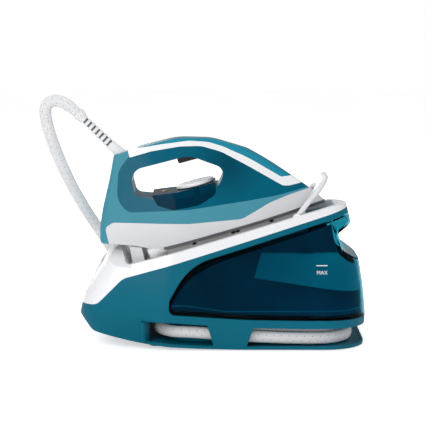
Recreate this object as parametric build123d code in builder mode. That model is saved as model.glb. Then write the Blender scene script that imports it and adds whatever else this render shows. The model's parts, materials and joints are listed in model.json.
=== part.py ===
"""Steam generator iron: a base station with a removable water tank and a hose winding
groove, and a steam iron that stands nose-up on the base's sloping tray.

Frame: +X towards the iron's nose, +Z up, origin on the ground under the middle of the base.
Millimetres throughout.
"""

import os
from math import cos, pi, radians, sin, tan

from build123d import *

os.makedirs("parts", exist_ok=True)

# ---------------------------------------------------------------- driving dimensions
base_length = 372.0
base_width = 212.0
base_wall = 3.0
plate_underside = 1.2       # the feet lift the bottom plate by this much
plate_floor = 2.4           # thickness of the bottom plate
plate_rim = 4.0             # the plate's rim stands this far above the keel
plate_rear = -158.0         # behind this the housing closes the bottom itself
groove_top = 28.3           # ceiling of the hose groove at the front
band_height = 10.3          # the band that carries the tank, above the groove
deck_thickness = 7.0        # teal deck between the tank and the white cover

iron_tilt = 15.0            # nose-up angle of the iron on its tray
heel_x = -74.0              # rear end of the sole, on the ground frame
heel_z = 121.0
sole_length = 220.0
sole_thickness = 4.0
iron_width = 115.0
iron_wall = 2.6

rim_drop = 2.6              # the rim's top lies this far below the plane of the sole
tray_drop = 10.4            # the tray's floor, below the same plane
tray_thickness = 3.0
rim_width = 9.0
rim_peak = 177.0            # the rim levels off at this height behind the nose
hump_top = 121.0            # height of the rear hump
hump_crown = 216.0          # radius of its crown from side to side
hump_front = -121.0

core_half = 52.0            # half width of the core between the tank's two arms
core_front = 112.0
tank_rear = -67.0
tank_wall = 2.5
tank_gap = 0.6              # running clearance of the tank in its bay
filler_radius = 13.0
spout_radius = 4.5

drum_half = 72.0
drum_rear = -70.0
drum_front = 149.0
drum_wall = 3.0
hose_width = 15.5           # the hose is a flat oval, this wide
hose_thickness = 10.5
hose_tube = 13.0            # diameter of the plain tube that stands for it
winding_tilt = 2.0          # the winding climbs towards the rear with the groove
window_rear = -101.0        # rear end of the groove's windows
tab_top = (-16.5, 39.5)     # the bridge tab's upper and lower edge, along X
tab_bottom = (-9.5, 31.5)

hoop_pivot = (98.0, 161.8)
hoop_angle = 53.0           # the locked hoop leans forward at this angle
hoop_reach = 67.5
hoop_half = 39.0
hoop_section = 5.0
hoop_pin_radius = 1.6
hoop_boss = 4.2
pin_clearance = 0.05
tooth_reach = 45.0          # the locking tooth clears the iron's nose at this radius

dial_radius = 25.0
dial_thickness = 4.6
dial_tilt = -1.0            # against the iron's own tilt
dial_along = 59.0           # along the sole from its rear end
dial_height = 66.9          # underside of the dial, above the sole
shaft_radius = 3.0

relief_angle = 43.7         # the hose leaves the handle at this angle above the ground
relief_root = (-133.5, 242.3)
relief_length = 76.3
collar_length = 15.0

fit_gap = 0.3               # between pieces on different bodies

front_x = base_length / 2
rear_x = -base_length / 2
half_y = base_width / 2
through = base_width        # a cut this long passes the whole width


# ---------------------------------------------------------------- lines of the side view
def sole_line(x, drop=0.0):
    """Height of the sole's plane over x, less a drop."""
    return heel_z + (x - heel_x) * tan(radians(iron_tilt)) - drop


def seam_line(x):
    """Seam between the white cover and the teal housing, a little steeper than the sole."""
    return sole_line(x, 16.0 - (x + 71.0) * 0.0185)


def deck_line(x):
    """Underside of the deck, which is the tank's top."""
    return seam_line(x) - deck_thickness


def groove_rise(x):
    """How far the groove and the tank's bay climb towards the rear, over their height at the front."""
    stations = ((-112.0, 9.0), (-65.0, 7.5), (-40.0, 5.9), (0.0, 3.1), (36.0, 1.2), (100.0, 0.0))
    if x <= stations[0][0]:
        return stations[0][1]
    for (x0, rise0), (x1, rise1) in zip(stations, stations[1:]):
        if x <= x1:
            return rise0 + (rise1 - rise0) * (x - x0) / (x1 - x0)
    return 0.0


def side_sketch(points, bends, plane=Plane.XZ):
    """A closed outline in the side view, with a bend radius for each point."""
    with BuildSketch(plane) as sketch:
        with BuildLine():
            FilletPolyline(*points, radius=bends, close=True)
        make_face()
    return sketch.sketch


# ---------------------------------------------------------------- master forms
def base_plan(height, front, front_share, waist, waist_share, rear, rear_share, bends, inset):
    """Six-cornered plan outline of the base at one height, drawn in by an inset."""
    right = front_x - front - inset
    left = rear_x + rear + inset
    wide, middle, narrow = (half_y * share - inset for share in (front_share, waist_share, rear_share))
    corners = [
        (right, -wide), (right, wide), (waist, middle),
        (left, narrow), (left, -narrow), (waist, -middle),
    ]
    front_bend, waist_bend, rear_bend = (max(bend - inset, 4.0) for bend in bends)
    front_bend, rear_bend = min(front_bend, 0.9 * wide), min(rear_bend, 0.9 * narrow)
    radii = [front_bend, front_bend, waist_bend, rear_bend, rear_bend, waist_bend]
    return side_sketch(corners, radii, Plane.XY.offset(height))


def base_form(inset=0.0):
    """Outer form of the base: a ruled foot and a smooth body, one loft on the other."""
    foot = (0.0, 2.0, 0.981, -70.0, 0.972, 18.0, 0.66, (52.0, 60.0, 26.0))
    sill = (41.0, 0.0, 1.0, -75.0, 1.0, 3.0, 0.745, (52.0, 60.0, 34.0))
    belly = (85.0, 3.5, 0.868, -70.0, 0.943, 19.0, 0.774, (54.0, 60.0, 34.0))
    brow = (140.0, 13.0, 0.547, -60.0, 0.755, 56.0, 0.623, (46.0, 60.0, 36.0))
    crown = (196.0, 26.0, 0.283, -50.0, 0.547, 86.0, 0.453, (26.0, 60.0, 30.0))
    with BuildPart() as form:
        loft(sections=[base_plan(*level, inset) for level in (foot, sill)], ruled=True)
        loft(sections=[base_plan(*level, inset) for level in (sill, belly, brow, crown)])
    return form.part


iron_plane = Plane(
    origin=(heel_x, 0, heel_z),
    x_dir=(cos(radians(iron_tilt)), 0, sin(radians(iron_tilt))),
    z_dir=(-sin(radians(iron_tilt)), 0, cos(radians(iron_tilt))),
)
iron_side = Plane(origin=iron_plane.origin, x_dir=iron_plane.x_dir, z_dir=(0, -1, 0))


def iron_plan(height, rear, rear_half, waist, waist_half, chest, chest_half, nose, nose_half, inset):
    """Plan outline of the iron at one height above its sole: a gothic arch with a blunt nose."""
    half = iron_width / 2
    left, right = rear + inset, sole_length - nose - inset
    tail, middle, breast, tip = (
        half - trim - inset for trim in (rear_half, waist_half, chest_half, nose_half)
    )
    tip = max(tip, 3.0)
    upper = [(right, tip), (chest, breast), (waist, middle), (left, tail)]
    lower = [(x, -y) for x, y in reversed(upper)]
    bends = [tip * 1.1, 150.0, 170.0, tail * 0.4]
    return side_sketch(upper + lower, bends + bends[::-1], iron_plane.offset(height))


def iron_form(inset=0.0):
    """Outer form of the iron, lofted from the sole to the top of the handle."""
    levels = [
        (0.0, -82.0, 19.5, 28.0, 0.0, 130.0, 14.5, 0.0, 52.5),
        (22.0, -80.5, 17.5, 26.0, 1.5, 128.0, 17.5, 15.0, 51.5),
        (50.0, -74.0, 23.5, 22.0, 11.5, 118.0, 26.5, 38.5, 50.5),
        (90.0, -55.0, 32.5, 15.0, 28.5, 100.0, 35.5, 76.0, 49.5),
        (112.0, -43.5, 37.5, 10.0, 35.0, 80.0, 39.5, 101.0, 49.5),
        (140.0, -30.5, 45.5, 8.0, 42.5, 60.0, 44.5, 132.0, 50.5),
    ]
    with BuildPart() as form:
        loft(sections=[iron_plan(*level, inset) for level in levels])
    return form.part


outer_base = base_form()
inner_base = base_form(base_wall)
outer_iron = iron_form()
inner_iron = iron_form(iron_wall)

# ---------------------------------------------------------------- regions of the base
far = 20.0
above = 60.0
rim_front = heel_x + (rim_peak - heel_z + rim_drop) / tan(radians(iron_tilt))

top_region = side_sketch(
    [
        (rear_x - far, -far),
        (front_x + far, -far),
        (front_x + far, rim_peak + 1.0),
        (rim_front, rim_peak),
        (hump_front, sole_line(hump_front, rim_drop)),
        (hump_front - 9.5, hump_top),
        (hump_front - 17.5, hump_top),
        (rear_x + 18.0, 90.0),
        (rear_x - far, 28.0),
    ],
    [0, 0, 0, 50.0, 6.0, 7.0, 8.0, 40.0, 0],
)
seam_points = [
    (front_x + far, seam_line(front_x + far)),
    (rear_x + 60.0, seam_line(rear_x + 60.0)),
    (rear_x + 26.0, 56.0),
    (rear_x - far, 54.0),
]
keel_points = [
    (rear_x - far, 76.0), (rear_x + 4.0, 40.0), (-166.0, 20.5), (-143.0, 14.6), (-117.0, 9.6),
    (-91.0, 6.2), (-64.0, 4.0), (-30.0, 2.3), (20.0, plate_underside), (front_x + far, plate_underside),
]
keel_bends = [0, 10.0, 12.0, 60.0, 120.0, 150.0, 150.0, 150.0, 150.0, 0]


def under_keel(rise=0.0, ahead=0.0):
    """Everything under the keel, the upswept underside of the base, with the keel raised and moved ahead."""
    raised = [(x + ahead, z + rise) for x, z in keel_points[:-1]] + [(front_x + far, plate_underside + rise)]
    return side_sketch(
        raised + [(front_x + far, -above), (rear_x - far + ahead, -above)], keel_bends + [0, 0],
    )


ceiling_points = [
    (x, groove_top + groove_rise(x)) for x in (rear_x - far, -112.0, -65.0, -40.0, 0.0, 36.0, 100.0, front_x + far)
]
under_ceiling = side_sketch(
    [(rear_x - far, -above)] + ceiling_points + [(front_x + far, -above)],
    [0, 0, 30.0, 60.0, 100.0, 100.0, 100.0, 100.0, 0, 0],
)
bay_floor_points = [
    (x, groove_top + band_height + groove_rise(x)) for x in (tank_rear, -40.0, 0.0, 36.0, 100.0, front_x + far)
]
bay_rear_points = [
    (-10.0, deck_line(-10.0)), (tank_rear + 27.5, deck_line(tank_rear + 27.5)),
    (tank_rear + 9.5, 80.0), (tank_rear, 63.5),
]
below_seam = side_sketch(
    [(rear_x - far, -far), (front_x + far, -far)] + seam_points,
    [0, 0, 0, 22.0, 16.0, 0],
)
above_seam = side_sketch(
    [(rear_x - far, hump_top + above), (front_x + far, seam_line(front_x + far) + above)] + seam_points,
    [0, 0, 0, 22.0, 16.0, 0],
)
tank_region = side_sketch(
    bay_floor_points + [
        (front_x + far, 108.5),
        (front_x - 7.0, 108.5),
        (front_x - 27.5, 121.5),
        (front_x - 35.0, 142.5),
        (front_x + far, 173.5),
        (front_x + far, deck_line(front_x + far)),
    ] + bay_rear_points,
    [8.0, 60.0, 100.0, 100.0, 100.0, 0, 0, 5.0, 9.0, 3.0, 0, 0, 0, 70.0, 50.0, 20.0],
)
bay_region = side_sketch(
    bay_floor_points + [(front_x + far, deck_line(front_x + far))] + bay_rear_points,
    [8.0, 60.0, 100.0, 100.0, 100.0, 0, 0, 0, 70.0, 50.0, 20.0],
)
tray_floor_rear = hump_front + 2.5
tray_region = side_sketch(
    [
        (tray_floor_rear, sole_line(tray_floor_rear, tray_drop)),
        (front_x + far, sole_line(front_x + far, tray_drop)),
        (front_x + far, hump_top + 2 * above),
        (tray_floor_rear - 7.0, hump_top + 2 * above),
        (tray_floor_rear - 7.0, hump_top - 8.0),
    ],
    [3.0, 0, 0, 0, 6.0],
)
void_front = tank_rear - base_wall
under_tray = tray_drop + tray_thickness
rear_floor = groove_top + groove_rise(rear_x) + base_wall
core_floor = groove_top + groove_rise(-30.0) + base_wall
rear_void_region = side_sketch(
    [
        (rear_x - far, rear_floor),
        (void_front, rear_floor),
        (void_front, 63.5),
        (void_front + 8.5, 80.5),
        (void_front + 24.0, deck_line(void_front + 24.0)),
        (void_front + 24.0, sole_line(void_front + 24.0, under_tray)),
        (tray_floor_rear - 2.0, sole_line(tray_floor_rear, under_tray)),
        (hump_front - 11.0, hump_top),
        (rear_x + 49.0, hump_top),
        (rear_x + 22.0, 90.0),
        (rear_x - far, 40.0),
    ],
    0.0,
)
core_void_region = side_sketch(
    [
        (void_front - 4.0, rear_floor),
        (-30.0, rear_floor),
        (-30.0, core_floor),
        (core_front - base_wall, core_floor),
        (core_front - base_wall, sole_line(core_front - base_wall, under_tray)),
        (void_front - 4.0, sole_line(void_front - 4.0, under_tray)),
    ],
    0.0,
)


def above_crown(drop=0.0):
    """Everything above the rear hump's crown, which is an arc from side to side."""
    rise = hump_crown - (hump_crown**2 - half_y**2) ** 0.5
    crest, foot = hump_top - drop, hump_top - drop - rise
    with BuildPart() as block:
        with BuildSketch(Plane.YZ.offset(hump_front + 6.0)):
            with BuildLine():
                ThreePointArc((-half_y, foot), (0, crest), (half_y, foot))
                Polyline((half_y, foot), (half_y, crest + above), (-half_y, crest + above), (-half_y, foot))
            make_face()
        extrude(amount=-base_length)
    return block.part


with BuildPart() as shell_void:
    add(inner_base)
    extrude(rear_void_region, amount=through, both=True, mode=Mode.INTERSECT)
    add(above_crown(base_wall + 1.0), mode=Mode.SUBTRACT)
    extrude(core_void_region, amount=core_half - base_wall, both=True)


def saddle(inset, gap):
    """The block the tank fills, with walls drawn in by inset and a gap kept to its bay."""
    draw = inset + gap
    core_face = core_half + draw
    with BuildPart() as block:
        add(base_form(inset))
        with BuildSketch(Plane.XZ):
            add(tank_region)
            if draw > 0:
                offset(amount=-draw, kind=Kind.INTERSECTION, mode=Mode.REPLACE)
        extrude(amount=through, both=True, mode=Mode.INTERSECT)
        with Locations(((core_front + draw + rear_x) / 2, 0, groove_top)):
            Box(
                core_front + draw - rear_x, 2 * core_face, 4 * above,
                align=(Align.CENTER, Align.CENTER, Align.MIN), mode=Mode.SUBTRACT,
            )
    return block.part


# ---------------------------------------------------------------- bottom plate
foot_tops = {-84.0: 7.0, 140.0: 2.4}      # place along X, height of the foot's top
foot_points = [(x, y) for x in foot_tops for y in (-68.0, 68.0)]
foot_radius = 9.0
foot_boss = 3.0
foot_seat = 1.8             # thickness of the plate over a foot
screw_points = [(x, y) for x in (-38.0, 128.0) for y in (-60.0, 60.0)]
post_radius = 7.0
screw_radius = 2.0
screw_head_radius = 3.8
screw_head_height = 3.0
screw_seat = 20.0
screw_tip = 37.2
gland_x = -10.0             # where the hose comes out through the drum's wall
gland_radius = 7.0
hose_height = 18.3          # centre of the wound hose over the middle of the base
hose_gap = 1.0              # between the drum and the winding
strand_pitch = hose_thickness + 0.5


def winding_line(x):
    """Height of the middle of the winding, which climbs towards the rear."""
    return hose_height - x * tan(radians(winding_tilt))


def ring_plan(grow, plane):
    """D-shaped outline of the hose winding, grown outwards from the drum's wall."""
    half = drum_half + grow
    corners = [
        (drum_front + grow, -half), (drum_front + grow, half),
        (drum_rear - grow, half), (drum_rear - grow, -half),
    ]
    bends = [34.0 + grow, 34.0 + grow, 30.0 + grow, 30.0 + grow]
    return side_sketch(corners, bends, plane)


floor_top = plate_underside + plate_floor
rim_region = side_sketch(
    [(plate_rear, -far), (plate_rear, 18.5 + plate_rim), (-143.0, 14.6 + plate_rim)]
    + [(x, z + plate_rim) for x, z in keel_points[4:]] + [(front_x + far, -far)],
    [0, 0] + keel_bends[3:] + [0],
)
with BuildPart() as bottom_plate:
    add(outer_base)
    extrude(rim_region, amount=through, both=True, mode=Mode.INTERSECT)
    with BuildPart(mode=Mode.PRIVATE) as plate_hollow:
        add(inner_base)
        extrude(under_keel(plate_floor, 1.5), amount=through, both=True, mode=Mode.SUBTRACT)
        with Locations((plate_rear + base_wall, 0, 0)):
            Box(2 * base_length, 2 * base_width, 2 * above, mode=Mode.INTERSECT,
                align=(Align.MIN, Align.CENTER, Align.CENTER))
    add(plate_hollow.part, mode=Mode.SUBTRACT)
    for x, y in foot_points:
        with Locations((x, y, 0)):
            Cylinder(foot_radius + foot_boss, foot_tops[x] + foot_seat,
                     align=(Align.CENTER, Align.CENTER, Align.MIN))
    extrude(ring_plan(0.0, Plane.XY), amount=above)
    extrude(ring_plan(-drum_wall, Plane.XY.offset(floor_top)), amount=above, mode=Mode.SUBTRACT)
    with BuildPart(mode=Mode.PRIVATE) as drum_floor:
        extrude(ring_plan(-1.0, Plane.XY), amount=above)
        extrude(under_keel(plate_floor), amount=through, both=True, mode=Mode.INTERSECT)
    add(drum_floor.part)
    with Locations(*[(x, y, 0) for x, y in screw_points]):
        Cylinder(post_radius, above, align=(Align.CENTER, Align.CENTER, Align.MIN))
    with Locations(*[(x, y, 0) for x, y in screw_points]):
        Cylinder(screw_head_radius + fit_gap, screw_seat, mode=Mode.SUBTRACT,
                 align=(Align.CENTER, Align.CENTER, Align.MIN))
        Cylinder(screw_radius + 0.1, above, mode=Mode.SUBTRACT,
                 align=(Align.CENTER, Align.CENTER, Align.MIN))
    extrude(under_keel(), amount=through, both=True, mode=Mode.SUBTRACT)
    extrude(under_ceiling, amount=through, both=True, mode=Mode.INTERSECT)
    for x, y in foot_points:
        with Locations((x, y, 0)):
            Cylinder(foot_radius + 0.1, foot_tops[x], mode=Mode.SUBTRACT,
                     align=(Align.CENTER, Align.CENTER, Align.MIN))
    with BuildSketch(Plane.XZ.offset(drum_half - drum_wall - 1)):
        with Locations((gland_x, winding_line(gland_x))):
            Circle(gland_radius)
    extrude(amount=drum_wall + 2, mode=Mode.SUBTRACT)
bottom_plate.part.label = "bottom_plate"

with BuildPart() as rubber_feet:
    for x, y in foot_points:
        with Locations((x, y, 0)):
            Cylinder(foot_radius, foot_tops[x], align=(Align.CENTER, Align.CENTER, Align.MIN))
    chamfer(rubber_feet.faces().sort_by(Axis.Z)[: len(foot_points)].edges(), 0.4)
rubber_feet.part.label = "rubber_feet"

with BuildPart() as base_screws:
    with Locations(*[(x, y, screw_seat) for x, y in screw_points]):
        Cylinder(screw_head_radius, screw_head_height, align=(Align.CENTER, Align.CENTER, Align.MAX))
        Cylinder(screw_radius, screw_tip - screw_seat, align=(Align.CENTER, Align.CENTER, Align.MIN))
    with Locations(*[(x, y, screw_seat - screw_head_height) for x, y in screw_points]):
        Box(4.6, 0.9, 2.4, mode=Mode.SUBTRACT)
        Box(0.9, 4.6, 2.4, mode=Mode.SUBTRACT)
base_screws.part.label = "base_screws"

# ---------------------------------------------------------------- teal housing
tab_slope = 23.0            # height over which the tab's edges lean from top to bottom
front_window = side_sketch(
    [(tab_bottom[1], plate_rim), (front_x + far, plate_rim), (front_x + far, above),
     (tab_bottom[1] + (tab_top[1] - tab_bottom[1]) * (above - plate_rim) / tab_slope, above)],
    0.0,
)
rear_window = side_sketch(
    [(window_rear - 2.0, plate_rim), (tab_bottom[0], plate_rim),
     (tab_bottom[0] + (tab_top[0] - tab_bottom[0]) * (above - plate_rim) / tab_slope, above),
     (window_rear, above)],
    [9.0, 0, 0, 0],
)
seal_y = -76.0
seal_z = 56.2
seal_radius = spout_radius + 2.0
cord_gland_y = 30.0
cord_gland_z = 47.4
cord_gland_radius = 6.0
cord_bore_radius = 4.0
cord_gland_length = 14.0
cord_gland_x = rear_x + 3.2

with BuildPart() as base_housing:
    add(outer_base)
    extrude(below_seam, amount=through, both=True, mode=Mode.INTERSECT)
    extrude(under_keel(), amount=through, both=True, mode=Mode.SUBTRACT)
    extrude(rim_region, amount=through, both=True, mode=Mode.SUBTRACT)
    # hose groove: hollow behind the closed rear wall, open at its windows
    with BuildPart(mode=Mode.PRIVATE) as groove_hollow:
        add(inner_base)
        extrude(under_ceiling, amount=through, both=True, mode=Mode.INTERSECT)
        extrude(under_keel(plate_floor, 1.5), amount=through, both=True, mode=Mode.SUBTRACT)
    add(groove_hollow.part, mode=Mode.SUBTRACT)
    with BuildPart(mode=Mode.PRIVATE) as windows:
        extrude(front_window, amount=through, both=True)
        extrude(rear_window, amount=through, both=True)
        extrude(under_ceiling, amount=2 * through, both=True, mode=Mode.INTERSECT)
    add(windows.part, mode=Mode.SUBTRACT)
    # tank bay round the core
    with BuildPart(mode=Mode.PRIVATE) as bay:
        extrude(bay_region, amount=through, both=True)
        with Locations(((core_front + rear_x) / 2, 0, groove_top)):
            Box(core_front - rear_x, 2 * core_half, 4 * above, mode=Mode.SUBTRACT,
                align=(Align.CENTER, Align.CENTER, Align.MIN))
    add(bay.part, mode=Mode.SUBTRACT)
    add(shell_void.part, mode=Mode.SUBTRACT)
    with Locations(*[(x, y, 0) for x, y in screw_points]):
        Cylinder(screw_radius, screw_tip, mode=Mode.SUBTRACT, align=(Align.CENTER, Align.CENTER, Align.MIN))
    with BuildSketch(Plane.YZ.offset(tank_rear + 5.0)):
        with Locations((seal_y, seal_z)):
            Circle(seal_radius)
    extrude(amount=-5.0 - base_wall - 1.0, mode=Mode.SUBTRACT)
    with BuildSketch(Plane.YZ.offset(rear_x - 1.0)):
        with Locations((cord_gland_y, cord_gland_z)):
            Circle(cord_gland_radius)
    extrude(amount=12.0, mode=Mode.SUBTRACT)
base_housing.part.label = "base_housing"

with BuildPart() as tank_seal:
    with BuildSketch(Plane.YZ.offset(tank_rear)):
        with Locations((seal_y, seal_z)):
            Circle(seal_radius)
            Circle(spout_radius + fit_gap, mode=Mode.SUBTRACT)
    extrude(amount=-base_wall)
tank_seal.part.label = "tank_seal"

with BuildPart() as cord_gland:
    with BuildSketch(Plane.YZ.offset(cord_gland_x)):
        with Locations((cord_gland_y, cord_gland_z)):
            Circle(cord_gland_radius)
            Circle(cord_bore_radius, mode=Mode.SUBTRACT)
    extrude(amount=cord_gland_length)
cord_gland.part.label = "cord_gland"

with BuildPart() as hose_gland:
    with BuildSketch(Plane.XZ.offset(drum_half - drum_wall - 4.0)):
        with Locations((gland_x, winding_line(gland_x))):
            Circle(gland_radius)
    extrude(amount=drum_wall + 4.0 + hose_gap)
hose_gland.part.label = "hose_gland"

# ---------------------------------------------------------------- white top cover
pivot_x, pivot_z = hoop_pivot
ear_inner = hoop_half + fit_gap
ear_radius = 5.6
ear_drop = 5.7
recess_rear = core_front + 1.0
recess_front = front_x - 38.0
panel_angle = 33.0          # the panel faces the rear, tipped up by this much
panel_width = 80.0
panel_height = 19.0
panel_depth = 6.0
panel_plane = Plane(
    origin=(rear_x + 26.6, 0, 96.0),
    x_dir=(0, -1, 0),
    z_dir=(-cos(radians(panel_angle)), 0, sin(radians(panel_angle))),
)
button_radius = 7.0
button_spots = {"power_button": -26.0, "eco_button": 26.0}
lens_spots = (-7.0, 0.0, 7.0)

with BuildPart() as top_cover:
    add(outer_base)
    extrude(top_region, amount=through, both=True, mode=Mode.INTERSECT)
    extrude(above_seam, amount=through, both=True, mode=Mode.INTERSECT)
    add(above_crown(), mode=Mode.SUBTRACT)
    with BuildPart(mode=Mode.PRIVATE) as tray:
        add(base_form(rim_width))
        extrude(tray_region, amount=through, both=True, mode=Mode.INTERSECT)
        with Locations((recess_front, 0, 0)):
            Box(base_length, through, 20 * above, mode=Mode.SUBTRACT,
                align=(Align.MIN, Align.CENTER, Align.CENTER))
    add(tray.part, mode=Mode.SUBTRACT)
    with BuildPart(mode=Mode.PRIVATE) as recess:
        add(base_form(rim_width + 1.0))
        with Locations((recess_rear, 0, 0)):
            Box(recess_front - 2.0 - recess_rear, through, 20 * above, mode=Mode.INTERSECT,
                align=(Align.MIN, Align.CENTER, Align.CENTER))
    add(recess.part, mode=Mode.SUBTRACT)
    add(shell_void.part, mode=Mode.SUBTRACT)
    # ears that carry the hoop's pins
    for side in (-1, 1):
        with BuildSketch(Plane.XZ.offset(-side * ear_inner)):
            with Locations((pivot_x, pivot_z)):
                Circle(ear_radius)
            with Locations((pivot_x - ear_radius, pivot_z)):
                Rectangle(2 * ear_radius, ear_drop, align=(Align.MIN, Align.MAX))
        extrude(amount=-side * 9.0)
    with Locations(Location((pivot_x, 0, pivot_z), (90, 0, 0))):
        Cylinder(hoop_pin_radius, 2 * (ear_inner + 8.0), mode=Mode.SUBTRACT)
    with BuildSketch(panel_plane.offset(5.0)):
        RectangleRounded(panel_width, panel_height, 5.0)
    extrude(amount=-14.0, mode=Mode.SUBTRACT)
top_cover.part.label = "top_cover"

# ---------------------------------------------------------------- control panel on the hump
with BuildPart() as control_panel:
    with BuildSketch(panel_plane):
        RectangleRounded(panel_width, panel_height, 5.0)
    extrude(amount=-panel_depth)
    fillet(control_panel.faces().sort_by(Axis((0, 0, 0), panel_plane.z_dir))[-1].edges(), 0.8)
    with BuildSketch(panel_plane):
        with Locations(*[(spot, 0) for spot in button_spots.values()]):
            Circle(button_radius + fit_gap)
        with Locations(*[(spot, 0) for spot in lens_spots]):
            Circle(1.5)
    extrude(amount=-panel_depth, mode=Mode.SUBTRACT)
control_panel.part.label = "control_panel"

with BuildPart() as indicator_lenses:
    with BuildSketch(panel_plane.offset(0.2)):
        with Locations(*[(spot, 0) for spot in lens_spots]):
            Circle(1.5)
    extrude(amount=-panel_depth)
indicator_lenses.part.label = "indicator_lenses"

buttons = []
for name, spot in button_spots.items():
    with BuildPart() as button:
        with BuildSketch(panel_plane.offset(2.0)):
            with Locations((spot, 0)):
                Circle(button_radius)
        extrude(amount=-panel_depth - 1.0)
        fillet(button.faces().sort_by(Axis((0, 0, 0), panel_plane.z_dir))[-1].edges(), 1.0)
    button.part.label = name
    buttons.append(button.part)

# ---------------------------------------------------------------- inside the base
boiler_radius = 31.0
with BuildPart() as boiler:
    with Locations(Location((24.0, 0, 78.0), (0, 90, 0))):
        Cylinder(boiler_radius, 132.0)
        fillet(boiler.edges().filter_by(GeomType.CIRCLE), 8.0)
    with Locations((24.0, 0, core_floor)):
        with Locations((-40.0, 0, 0), (40.0, 0, 0)):
            Box(14.0, 44.0, 18.0, align=(Align.CENTER, Align.CENTER, Align.MIN))
boiler.part.label = "boiler"

with BuildPart() as heater_band:
    with BuildSketch(Plane.YZ.offset(12.0)):
        with Locations((0, 78.0)):
            Circle(boiler_radius + 2.0)
            Circle(boiler_radius, mode=Mode.SUBTRACT)
    extrude(amount=24.0)
heater_band.part.label = "heater_band"

with BuildPart() as steam_valve:
    with Locations(Location((101.0 - 3.0, 0, 78.0), (0, 90, 0))):
        Cylinder(9.0, 16.0)
    with Locations((98.0, 0, 84.0)):
        Cylinder(5.0, 17.0, align=(Align.CENTER, Align.CENTER, Align.MIN))
steam_valve.part.label = "steam_valve"

pump_x = -104.0
with BuildPart() as pump:
    with Locations((pump_x, -24.0, rear_floor)):
        Box(48.0, 30.0, 8.0, align=(Align.CENTER, Align.CENTER, Align.MIN))
    with Locations(Location((pump_x, -24.0, rear_floor + 22.0), (0, 90, 0))):
        Cylinder(16.0, 40.0)
        Cylinder(6.0, 56.0)
pump.part.label = "pump"

with BuildPart() as control_board:
    with Locations((-140.0, 0, rear_floor)):
        Box(1.6, 84.0, 44.0, align=(Align.CENTER, Align.CENTER, Align.MIN))
    with Locations((-139.2, 20.0, rear_floor + 14.0)):
        Box(16.0, 18.0, 20.0, align=(Align.MIN, Align.CENTER, Align.MIN))
    with Locations((-139.2, -24.0, rear_floor + 30.0)):
        Box(11.0, 22.0, 10.0, align=(Align.MIN, Align.CENTER, Align.MIN))
control_board.part.label = "control_board"

# ---------------------------------------------------------------- water tank
filler_x = 130.0
with BuildPart() as water_tank:
    add(saddle(0.0, tank_gap))
    add(saddle(tank_wall, tank_gap), mode=Mode.SUBTRACT)
    with Locations((filler_x, 0, deck_line(filler_x) - 12.0)):
        Cylinder(filler_radius, above, mode=Mode.SUBTRACT, align=(Align.CENTER, Align.CENTER, Align.MIN))
    with BuildSketch(Plane.YZ.offset(tank_rear + tank_wall + 2.0)):
        with Locations((seal_y, seal_z)):
            Circle(spout_radius)
    extrude(amount=-tank_wall - base_wall - 4.0)
    with BuildSketch(Plane.YZ.offset(tank_rear - base_wall - 3.0)):
        with Locations((seal_y, seal_z)):
            Circle(spout_radius - 1.8)
    extrude(amount=tank_wall + base_wall + 8.0, mode=Mode.SUBTRACT)
water_tank.part.label = "water_tank"

# ---------------------------------------------------------------- carrying lock
hoop_plane = Plane(
    origin=(pivot_x, 0, pivot_z),
    x_dir=(0, 1, 0),
    z_dir=(sin(radians(hoop_angle)), 0, -cos(radians(hoop_angle))),
)
with BuildPart() as lock_hoop:
    with BuildSketch(hoop_plane):
        with BuildLine():
            FilletPolyline(
                (-hoop_half, 0), (-hoop_half, hoop_reach), (hoop_half, hoop_reach), (hoop_half, 0),
                (hoop_half - hoop_section, 0), (hoop_half - hoop_section, hoop_reach - 7.5),
                (-hoop_half + hoop_section, hoop_reach - 7.5), (-hoop_half + hoop_section, 0),
                radius=[0, 22.0, 22.0, 0, 0, 17.0, 17.0, 0], close=True,
            )
        make_face()
        with Locations((0, tooth_reach)):
            Rectangle(22.0, hoop_reach - 6.0 - tooth_reach, align=(Align.CENTER, Align.MIN))
    extrude(amount=hoop_section / 2, both=True)
    for side in (-1, 1):
        with BuildSketch(Plane.XZ.offset(-side * hoop_half)):
            with Locations((pivot_x, pivot_z)):
                Circle(hoop_boss)
        extrude(amount=side * hoop_section)
    with Locations(Location((pivot_x, 0, pivot_z), (90, 0, 0))):
        Cylinder(hoop_pin_radius + pin_clearance, through, mode=Mode.SUBTRACT)
lock_hoop.part.label = "lock_hoop"

with BuildPart() as hoop_pins:
    for side in (-1, 1):
        with BuildSketch(Plane.XZ.offset(-side * (ear_inner + 7.6))):
            with Locations((pivot_x, pivot_z)):
                Circle(hoop_pin_radius)
        extrude(amount=side * (hoop_section + fit_gap + 7.6))
hoop_pins.part.label = "hoop_pins"

# ---------------------------------------------------------------- rests on the tray
pad_top = -0.4              # the pads stop just short of the sole's plane
pad_inset = 4.5             # from the edge of the sole
pad_width = 8.0
pad_ends = (3.0, 184.0)
pad_notches = (40.0, 92.0, 98.0, 144.0)
pad_notch_depth = 3.0
sole_outline = (-82.0, 19.5, 28.0, 0.0, 130.0, 14.5, 0.0, 52.5)
tray_depth = tray_drop * cos(radians(iron_tilt))
with BuildPart() as rest_pads:
    extrude(iron_plan(-tray_depth, *sole_outline, pad_inset), amount=tray_depth + pad_top)
    extrude(iron_plan(-tray_depth, *sole_outline, pad_inset + pad_width), amount=tray_depth, mode=Mode.SUBTRACT)
    with BuildSketch(iron_side):
        with Locations((pad_ends[0], -tray_depth)):
            Rectangle(pad_ends[1] - pad_ends[0], tray_depth, align=(Align.MIN, Align.MIN))
    extrude(amount=through, both=True, mode=Mode.INTERSECT)
    # drain notches across the strips
    with BuildSketch(iron_side):
        with Locations(*[(along, pad_top) for along in pad_notches]):
            Rectangle(5.0, 2 * pad_notch_depth)
    extrude(amount=through, both=True, mode=Mode.SUBTRACT)
rest_pads.part.label = "rest_pads"

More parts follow.
